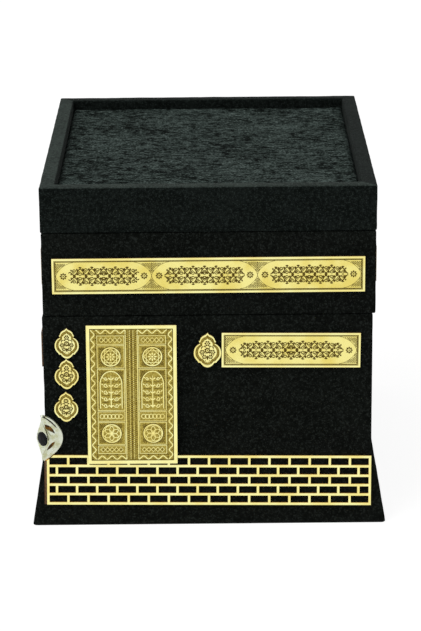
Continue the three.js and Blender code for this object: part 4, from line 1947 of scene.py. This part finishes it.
@dataclass
class CornerOrnament:
    """The silver ornament on the front left corner: two pierced wings round a round bezel.

    A wing is drawn with X away from the corner and Y up. Round pieces look out of the corner, and
    their distances run along its diagonal.
    """

    finishes: Wardrobe
    form: CaseForm
    top: float = 16.2
    foot: float = -16.5
    reach: float = 12.55
    waist: float = 0.6
    thick: float = 2.1
    round_edge: float = 0.45
    centre_z: float = 60.0
    stand_off: float = 0.5
    shoulder_tips: Point = (12.7, -12.5)
    bezel_height: float = -0.45
    bezel_face: float = 2.0
    bezel_radius: float = 6.1
    bezel_depth: float = 2.5
    well_radius: float = 5.1
    stone_radius: float = 4.8
    stone_seat: float = 1.7
    stone_edge: float = 0.4
    stone_dome: float = 0.8
    lip: float = 0.75
    tongue: float = 0.85
    rib: float = 0.9
    voxel: float = 0.22

    @property
    def place(self) -> Matrix:
        """From the ornament's own frame, its corner on Z, to the box."""
        x, y = (-size - self.stand_off for size in self.form.half)
        return Matrix.Translation(Vector((x, y, self.centre_z)) * MM)

    @property
    def out_of_corner(self) -> Matrix:
        """Turns Z to look out of the corner, and Y to stand up, at the stone's height."""
        turn = Matrix.Rotation(-math.pi / 4, 4, "Z") @ Matrix.Rotation(math.pi / 2, 4, "X")
        return Matrix.Translation((0, 0, self.bezel_height)) @ turn

    @property
    def wing_turns(self) -> tuple[Matrix, Matrix]:
        """From a wing's drawing to the front wall and, mirrored, to the left wall."""
        upright = Matrix.Rotation(math.pi / 2, 4, "X")
        return upright, Matrix.Rotation(-math.pi / 2, 4, "Z") @ Matrix.Diagonal((-1, 1, 1, 1)) @ upright

    def outline(self, grow: float = 0.0, back: float | None = None) -> list[Point]:
        """A wing's edge, from its upper tip down to its lower one and back behind the corner.

        Args:
            grow: how much larger than the wing it is.
            back: how far it runs past the corner; the wing's thickness unless given.

        Returns:
            Its corners, clockwise.
        """
        back = self.thick if back is None else back
        top, foot, reach = self.top + grow, self.foot - grow, self.reach + grow
        upper = ((-1, top), (reach * 0.33, top), (reach, top * 0.53), (reach, self.waist))
        lower = ((reach, self.waist), (reach, foot * 0.42), (reach * 0.37, foot * 0.78), (-0.5, foot))
        return [(-back, top - 1.8), *bezier(upper, 12), *bezier(lower, 14)[1:], (-back, foot + 2.2)]

    @property
    def openings(self) -> tuple[list[Point], list[Point]]:
        """The opening that bends round the tongue, and the lens under the stone."""
        bend = curved_outline(
            (0.2, 10.2), ((5.4, 9.6), (7.3, 3.5)), ((4.1, 5.0), (1.2, 6.8)), ((2.2, 3.4), (3.2, 0.4)),
            ((2.9, 0.05), (2.6, -0.3)), ((1.6, 3.0), (0.2, 10.2)),
        )
        lens = curved_outline((6.9, -2.1), ((6.4, -5.8), (1.3, -8.5)), ((3.0, -3.4), (6.9, -2.1)))
        return bend, lens

    def wing(self) -> bpy.types.Mesh:
        """A wing with soft edges, as drawn, its face on Z."""
        soft = self.round_edge
        edge = Stroke(tuple(self.outline()), 2.0, True)
        mesh = drawn_curve(
            [edge], dimensions="2D", fill_mode="BOTH", extrude=self.thick / 2 - soft, bevel_depth=soft,
            bevel_resolution=2, offset=-soft,
        )
        mesh.transform(Matrix.Translation((0, 0, self.thick / 2)))
        return mesh

    def beads(self) -> bpy.types.Mesh:
        """The lip round the upper edge, the tongue and the rib under the stone, as drawn."""
        runs = (
            (self.outline(-0.75)[1:12], self.lip),
            (((2.5, 6.2), (3.4, 4.5), (4.6, 2.4)), self.tongue),
            (((8.6, -1.6), (8.2, -5.2), (4.2, -9.6), (1.2, -12.4)), self.rib),
        )
        drawing = []
        for points, radius in runs:
            swell = [math.sin(math.pi * (i + 0.6) / (len(points) + 0.2)) for i in range(len(points))]
            widths = tuple(2 * radius * max(0.3, share ** 0.5) for share in swell)
            drawing.append(Stroke(tuple(points), widths, height=self.thick - radius * 0.45))
        return drawn_curve(drawing, dimensions="3D", bevel_depth=1.0, bevel_resolution=3, use_fill_caps=True)

    def turned(self, profile: Sequence[Point], steps: int = 48) -> Workpiece:
        """A round form that looks out of the corner.

        Args:
            profile: radii with their distances along the diagonal, from the middle to the middle.
            steps: how many faces go round.

        Returns:
            The closed form.
        """
        work = Workpiece()
        points = [work.bm.verts.new((radius, 0, along)) for radius, along in profile]
        line = [work.bm.edges.new(pair) for pair in zip(points, points[1:])]
        bmesh.ops.spin(
            work.bm, geom=points + line, cent=(0, 0, 0), axis=(0, 0, 1), angle=2 * math.pi, steps=steps,
            use_merge=True,
        )
        bmesh.ops.remove_doubles(work.bm, verts=work.bm.verts, dist=work.weld)
        bmesh.ops.recalc_face_normals(work.bm, faces=work.bm.faces)
        bmesh.ops.transform(work.bm, matrix=self.out_of_corner, verts=work.bm.verts)
        return work

    def shoulder(self, tip: float) -> bpy.types.Mesh:
        """The bezel's cone with the slope that joins it to the ridge of the corner.

        Args:
            tip: the height on the ridge at which the slope starts.

        Returns:
            The two as one bulging form.
        """
        face, radius, depth = self.bezel_face, self.bezel_radius, self.bezel_depth
        rim = face - 0.5
        back = rim - depth
        work = self.turned(((0, back), (radius - depth, back), (radius, rim), (radius, face), (0, face)))
        work.bm.verts.new((0.05 - self.thick, 0.05 - self.thick, tip))
        hull = bmesh.ops.convex_hull(work.bm, input=work.bm.verts)
        unused = [item for item in hull["geom_interior"] if isinstance(item, bmesh.types.BMVert)]
        bmesh.ops.delete(work.bm, geom=unused, context="VERTS")
        return work.mesh("shoulder")

    def cutters(self) -> list[bpy.types.Mesh]:
        """The stone's well, and the openings in each of the two walls."""
        face, wall, rim = self.bezel_face, self.well_radius, self.bezel_radius + 0.05
        bottom, clear = face - 0.6, face + 4
        well = self.turned(((0, bottom), (wall, bottom), (wall, face), (rim, face), (rim, clear), (0, clear)))
        drawn = Workpiece()
        for outline in self.openings:
            drawn.slab(outline, -0.1, 9.0)
        openings = drawn.mesh("openings")
        return [well.mesh("well"), *(self.on_wall(openings, turn) for turn in self.wing_turns)]

    def casting(self) -> Workpiece:
        """Wings, beads, shoulders and bezel as one skin, pierced, with the stone's well cut into it."""
        work = Workpiece()
        self.on_both_walls(work, self.wing())
        self.on_both_walls(work, self.beads())
        for tip in self.shoulder_tips:
            work.bm.from_mesh(self.shoulder(tip))
        cutters = [linked("cutter", mesh) for mesh in self.cutters()]
        steps = [
            ("REMESH", {"mode": "VOXEL", "voxel_size": self.voxel}),
            ("SMOOTH", {"factor": 0.5, "iterations": 4}),
        ]
        for cutter in cutters:
            steps.append(("BOOLEAN", {"object": cutter, "operation": "DIFFERENCE", "solver": "EXACT"}))
        cast = evaluated(work.mesh("casting"), steps)
        for cutter in cutters:
            bpy.data.objects.remove(cutter)
        return Workpiece(cast)

    def stone(self) -> Workpiece:
        """A nearly flat round stone on a short straight edge."""
        radius, rise = self.stone_radius, self.stone_seat + self.stone_edge
        turns = [math.radians(15 * i) for i in range(1, 7)]
        dome = [(radius * math.cos(t), rise + self.stone_dome * math.sin(t)) for t in turns]
        return self.turned(((0, self.stone_seat), (radius, self.stone_seat), (radius, rise), *dome), 64)

    def on_wall(self, drawn: bpy.types.Mesh, turn: Matrix) -> bpy.types.Mesh:
        """A copy of a piece on one of the two walls.

        Args:
            drawn: the piece, as drawn on a wing.
            turn: from the drawing to the wall.

        Returns:
            The copy.
        """
        copy = drawn.copy()
        copy.transform(turn)
        if turn.is_negative:
            copy.flip_normals()
        return copy

    def on_both_walls(self, work: Workpiece, drawn: bpy.types.Mesh) -> None:
        """Adds a piece, as drawn on a wing, to a workpiece for both walls."""
        for turn in self.wing_turns:
            work.bm.from_mesh(self.on_wall(drawn, turn))

    def shade_glint_sheet(self) -> Workpiece:
        """A sheet behind the openings, dark brown to amber: painted shade with a painted amber reflection."""
        drawn, work = Workpiece(), Workpiece()
        drawn.slab(list(reversed(self.outline(-1.2, 0.1))), 0.1, 0.4)
        self.on_both_walls(work, drawn.mesh("shade_glint_sheet"))
        return work

    def shadow_lines(self) -> Workpiece:
        """A dark, tapering low ridge inside the lip: a painted shadow line."""
        points = ((-0.9, 15.7), (1.8, 14.5), (4.5, 12.1), (7.2, 9.1), (8.6, 7.3))
        run = Stroke(points, (1.1, 1.5, 1.3, 0.85, 0.15))
        work = Workpiece()
        self.on_both_walls(work, engraved([run], self.thick).mesh("shadow_lines"))
        return work

    def make(self) -> None:
        """Builds the casting, the painted shade and reflection behind its openings, the painted shadow line
        inside its lip, and the stone.
        """
        wear = self.finishes
        silver = Fit(Body.LOWER, Slot.SILVER, ("corner_ornament_frame",), self.place)
        self.casting().finish("corner_ornament_casting", [wear.silver], silver, 60)
        ground = Fit(Body.LOWER, Slot.SILVER, (), self.place)
        # A sheet of painted shade and amber reflection behind the openings.
        self.shade_glint_sheet().finish("corner_ornament_backing", [wear.recess], ground, None)
        # The painted shadow line inside the lip.
        self.shadow_lines().finish("corner_ornament_grooves", [wear.shadow_paint], ground, None)
        stone = Fit(Body.LOWER, Slot.STONE, ("corner_ornament_stone",), self.place)
        self.stone().finish("corner_ornament_cabochon", [wear.stone], stone, 50)


@dataclass
class Hinges:
    """The two butt hinges at the back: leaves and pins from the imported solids, and slotted screws."""

    finishes: Wardrobe
    soften: float = 0.14
    screw_head: Point = (1.9, 1.1)
    slot: Point = (0.28, 0.45)
    slot_wall: float = 0.05
    slot_turn: Point = (30.0, 47.0)

    def refined(self, node: str, body: Body) -> None:
        """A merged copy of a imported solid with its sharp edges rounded.

        Args:
            node: the solid.
            body: the body that it rides on.
        """
        work = Workpiece(frame["nodes"][node].data)
        bmesh.ops.scale(work.bm, vec=(1 / MM, 1 / MM, 1 / MM), verts=work.bm.verts)
        bmesh.ops.remove_doubles(work.bm, verts=work.bm.verts, dist=1e-3)
        bmesh.ops.dissolve_limit(
            work.bm, angle_limit=math.radians(1), verts=work.bm.verts, edges=work.bm.edges,
        )
        work.bevel(work.folds(50), self.soften)
        work.finish(node + "_worked", [self.finishes.brass], Fit(body, Slot.BRASS, (node,)), 35)

    def screw(self, node: str, body: Body) -> None:
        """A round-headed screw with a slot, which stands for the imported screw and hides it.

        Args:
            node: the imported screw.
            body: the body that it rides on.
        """
        low, high = packed_box(node)
        middle = (low + high) / 2
        radius, rise = self.screw_head
        work = Workpiece()
        bmesh.ops.create_uvsphere(work.bm, u_segments=28, v_segments=14, radius=1)
        bmesh.ops.scale(work.bm, vec=(radius, radius, rise), verts=work.bm.verts)
        half_slot, depth = self.slot
        outer = half_slot + self.slot_wall
        for at in (-outer, -half_slot, half_slot, outer):
            work.cut((at, 0, 0), (1, 0, 0))
        for vertex in work.bm.verts:
            if abs(vertex.co.x) < half_slot + 0.01 and vertex.co.z > rise - depth:
                vertex.co.z = rise - depth
        first, each = self.slot_turn
        place = Matrix.Translation((middle.x, high.y - rise, middle.z))
        outward = Matrix.Rotation(-math.pi / 2, 4, "X")
        turned = place @ outward @ Matrix.Rotation(math.radians(first + each * middle.x), 4, "Z")
        bmesh.ops.transform(work.bm, matrix=turned, verts=work.bm.verts)
        work.finish(node + "_head", [self.finishes.brass], Fit(body, Slot.BRASS, (node,)), 35)

    def make(self) -> None:
        """Builds both hinges."""
        for side in ("left", "right"):
            for level, body in (("lower", Body.UPPER), ("upper", Body.LID)):
                self.refined(f"hinge_{side}_{level}_leaf", body)
                for number in (1, 2):
                    self.screw(f"hinge_{side}_{level}_screw_{number}", body)
            self.refined(f"hinge_{side}_pin", Body.UPPER)


@dataclass
class LowerCase:
    """The tall lower case with its plinth, plates, lattices and ornament."""

    finishes: Wardrobe
    form: CaseForm = field(default_factory=CaseForm)
    cartouche_half: Point = (46.1, 12.05)
    cartouche_border: float = 1.35
    medallion_half: Point = (9.1, 12.15)
    small_medallion: float = 0.878
    plates_slant: float = -0.6
    door_half: Point = (30.0, 96.25 / 2)
    door_foot: float = 42.8
    door_border: float = 2.3
    door_slant: float = -0.2
    lattice_across: float = 0.1
    lattice_slant: float = -0.63
    burnt_edge: float = 1.7
    notch_room: float = 0.6

    def make(self) -> None:
        """Builds the case's pieces."""
        wear, form, front = self.finishes, self.form, Side.FRONT
        PlinthSkin("lower_outer_velvet", Body.LOWER, wear, form=form).make()
        for side, slant in ((front, self.plates_slant), (Side.LEFT, 0.0)):
            CartouchePlate(
                f"cartouche_plate_{side.name.lower()}", side, Body.LOWER, wear, self.cartouche_half, slant,
                border=self.cartouche_border,
            ).make()
        half = self.medallion_half
        Medallion("medallion_right", front, Body.LOWER, wear, half, self.plates_slant).make()
        for name in ("top", "middle", "bottom"):
            node = f"medallion_left_{name}"
            Medallion(node, front, Body.LOWER, wear, half, scale=self.small_medallion).make()
        self.door().make()
        ornament = CornerOrnament(wear, form)
        self.lattices(ornament)
        ornament.make()

    def door(self) -> DoorPlate:
        """The door plate, whose head leans back to the wall while its foot clears the lattice."""
        form, gap = self.form, BrickLattice.gap
        sheet = (BrickLattice.thickness + 2 * gap) / math.cos(form.slope)
        foot_out = form.flare_at(self.door_foot) + sheet + gap
        lean = math.degrees(math.asin((foot_out - gap) / (2 * self.door_half[1])))
        return DoorPlate(
            "door_plate", Side.FRONT, Body.LOWER, self.finishes, self.door_half, self.door_slant, lean,
            border=self.door_border,
        )

    def lattices(self, ornament: CornerOrnament) -> None:
        """The lattices at the front and the back, the front one cut out round the ornament.

        Args:
            ornament: what the front lattice makes room for.
        """
        wear, form = self.finishes, self.form
        front = BrickLattice(
            Side.FRONT, wear, form, self.lattice_across, self.lattice_slant, left_bevel=self.burnt_edge,
        )
        x = -form.half[0] - ornament.stand_off - front.across
        y = (ornament.centre_z - form.plinth_top) / math.cos(form.slope) + front.down
        turn = Matrix.Rotation(math.radians(-front.slant), 2)
        edge = reversed(ornament.outline(self.notch_room, 8.0))
        front.notch = tuple(tuple(turn @ Vector((x + px, y + py))) for px, py in edge)
        front.make()
        BrickLattice(Side.BACK, wear, form).make()


@dataclass
class UpperCase:
    """The shallow upper case with a band plate on each side."""

    finishes: Wardrobe
    long_half: float = 110.0
    short_half: float = 103.0
    band_half_height: float = 12.1
    band_border: float = 1.4
    front_cells: Shares = (0.0, 0.314, 0.661, 1.0)
    back_cells: Shares = (0.0, 1 / 3, 2 / 3, 1.0)
    side_cells: Shares = (0.0, 0.25, 0.5, 0.75, 1.0)

    def make(self) -> None:
        """Builds the case's skin and plates."""
        ClothSkin("upper_outer_velvet", Body.UPPER, self.finishes).make()
        for side, half_width, cells in (
            (Side.FRONT, self.short_half, self.front_cells), (Side.BACK, self.short_half, self.back_cells),
            (Side.RIGHT, self.long_half, self.side_cells), (Side.LEFT, self.long_half, self.side_cells),
        ):
            CartouchePlate(
                f"band_plate_{side.name.lower()}", side, Body.UPPER, self.finishes,
                (half_width, self.band_half_height), border=self.band_border, cells=cells,
            ).make()


@dataclass
class Lid:
    """The lid with its skin, padded top and hinges."""

    finishes: Wardrobe

    def make(self) -> None:
        """Builds the lid's pieces."""
        LidSkin("lid_outer_velvet", Body.LID, self.finishes).make()
        PaddedTop(self.finishes).make()
        Hinges(self.finishes).make()


class Carcass:
    """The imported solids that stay: boards, linings and paper, each in its own finish."""

    def __init__(self, finishes: Wardrobe) -> None:
        """Pairs each slot with its finish.

        Args:
            finishes: the materials.
        """
        self.by_slot = {
            Slot.BOARD: finishes.board, Slot.VELVET: finishes.velvet, Slot.PAPER: finishes.paper,
            Slot.GILT: finishes.gilt, Slot.SILVER: finishes.silver, Slot.STONE: finishes.stone,
            Slot.BRASS: finishes.brass, Slot.CRUSHED: finishes.crushed,
        }

    def make(self) -> None:
        """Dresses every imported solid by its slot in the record."""
        for part in frame["record"]["subparts"]:
            node = frame["nodes"][part["node"]]
            node.data.materials.clear()
            node.data.materials.append(self.by_slot[Slot(part["material_slot"])])
        LOG.info("dressed %d packed solids", len(frame["nodes"]))


@dataclass
class Studio:
    """Floor, world, lamps and camera."""

    floor_reach: float = 12.0
    floor_white: float = 0.92
    floor_faint: float = 0.92 * 0.985
    floor_lift: float = 0.76
    floor_glow: float = 1.16
    world_level: float = 0.55
    key_place: tuple[float, float, float] = (-1.1, -0.9, 1.9)
    key_target: tuple[float, float, float] = (0, 0, 0.12)
    key_size: float = 1.5
    key_power: float = 22.0
    camera_place: tuple[float, float, float] = (3.10, -1704.37, 648.66)
    camera_down: float = 17.7611
    camera_turn: float = -0.0357
    camera_roll: float = -0.5376
    lens: float = 142.5

    def floor(self) -> None:
        """A pale floor that keeps the box's shadow and otherwise looks white."""
        graph = Graph.of_material("studio_floor")
        white, faint = ((level, level, level, 1.0) for level in (self.floor_white, self.floor_faint))
        shade = graph.mix(graph.noise(60, 2), white, faint)
        graph.finish(Base_Color=shade, Roughness=0.9, Specular_IOR_Level=0.0)
        glow = graph.node("ShaderNodeEmission", None, {"Color": (1, 1, 1, 1), "Strength": self.floor_glow})
        plain = Signal(graph, graph.shader.outputs[0])
        share = graph.backdrop_rays() * self.floor_lift
        mixed = graph.node("ShaderNodeMixShader", None, {0: share, 1: plain, 2: glow})
        graph.feed(graph.tree.nodes["Material Output"].inputs["Surface"], mixed)
        work = Workpiece()
        bmesh.ops.create_grid(work.bm, x_segments=1, y_segments=1, size=self.floor_reach)
        mesh = work.mesh("floor")
        mesh.materials.append(graph.owner)
        linked("floor", mesh)

    def world(self) -> None:
        """A soft grey world for light, white where it is seen."""
        graph = Graph(bpy.data.worlds.new("studio"), "Background")
        strength = graph.backdrop_rays() * (1 - self.world_level) + self.world_level
        bpy.context.scene.world = graph.finish(Color=(1, 1, 1, 1), Strength=strength)

    def lamp(self) -> None:
        """One large soft lamp, high at the front left."""
        data = bpy.data.lights.new("key", "AREA")
        data.size = self.key_size
        data.energy = self.key_power
        lamp = linked("key", data)
        lamp.location = self.key_place
        aim = Vector(self.key_target) - lamp.location
        lamp.rotation_euler = aim.to_track_quat("-Z", "Y").to_euler()

    def camera(self) -> None:
        """The camera at the photograph's viewing angle."""
        data = bpy.data.cameras.new("view")
        data.lens = self.lens
        camera = linked("view", data)
        down, turn, roll = map(math.radians, (self.camera_down, self.camera_turn, self.camera_roll))
        ahead = Vector((math.sin(turn) * math.cos(down), math.cos(turn) * math.cos(down), -math.sin(down)))
        right = Vector((math.cos(turn), -math.sin(turn), 0))
        up = right.cross(ahead)
        level_x = right * math.cos(roll) + up * math.sin(roll)
        level_y = up * math.cos(roll) - right * math.sin(roll)
        axes = Matrix((level_x, level_y, -ahead)).transposed().to_4x4()
        camera.matrix_world = Matrix.Translation(Vector(self.camera_place) * MM) @ axes
        bpy.context.scene.camera = camera

    def make(self) -> None:
        """Sets the whole studio up."""
        self.floor()
        self.world()
        self.lamp()
        self.camera()
        bpy.context.scene.view_settings.view_transform = "Standard"


def main() -> None:
    logging.basicConfig(level=logging.INFO, format="%(message)s")
    Studio().make()
    finishes = Wardrobe()
    Carcass(finishes).make()
    for assembly in (LowerCase(finishes), UpperCase(finishes), Lid(finishes)):
        LOG.info("building %s", type(assembly).__name__)
        assembly.make()


if __name__ == "__main__":
    main()
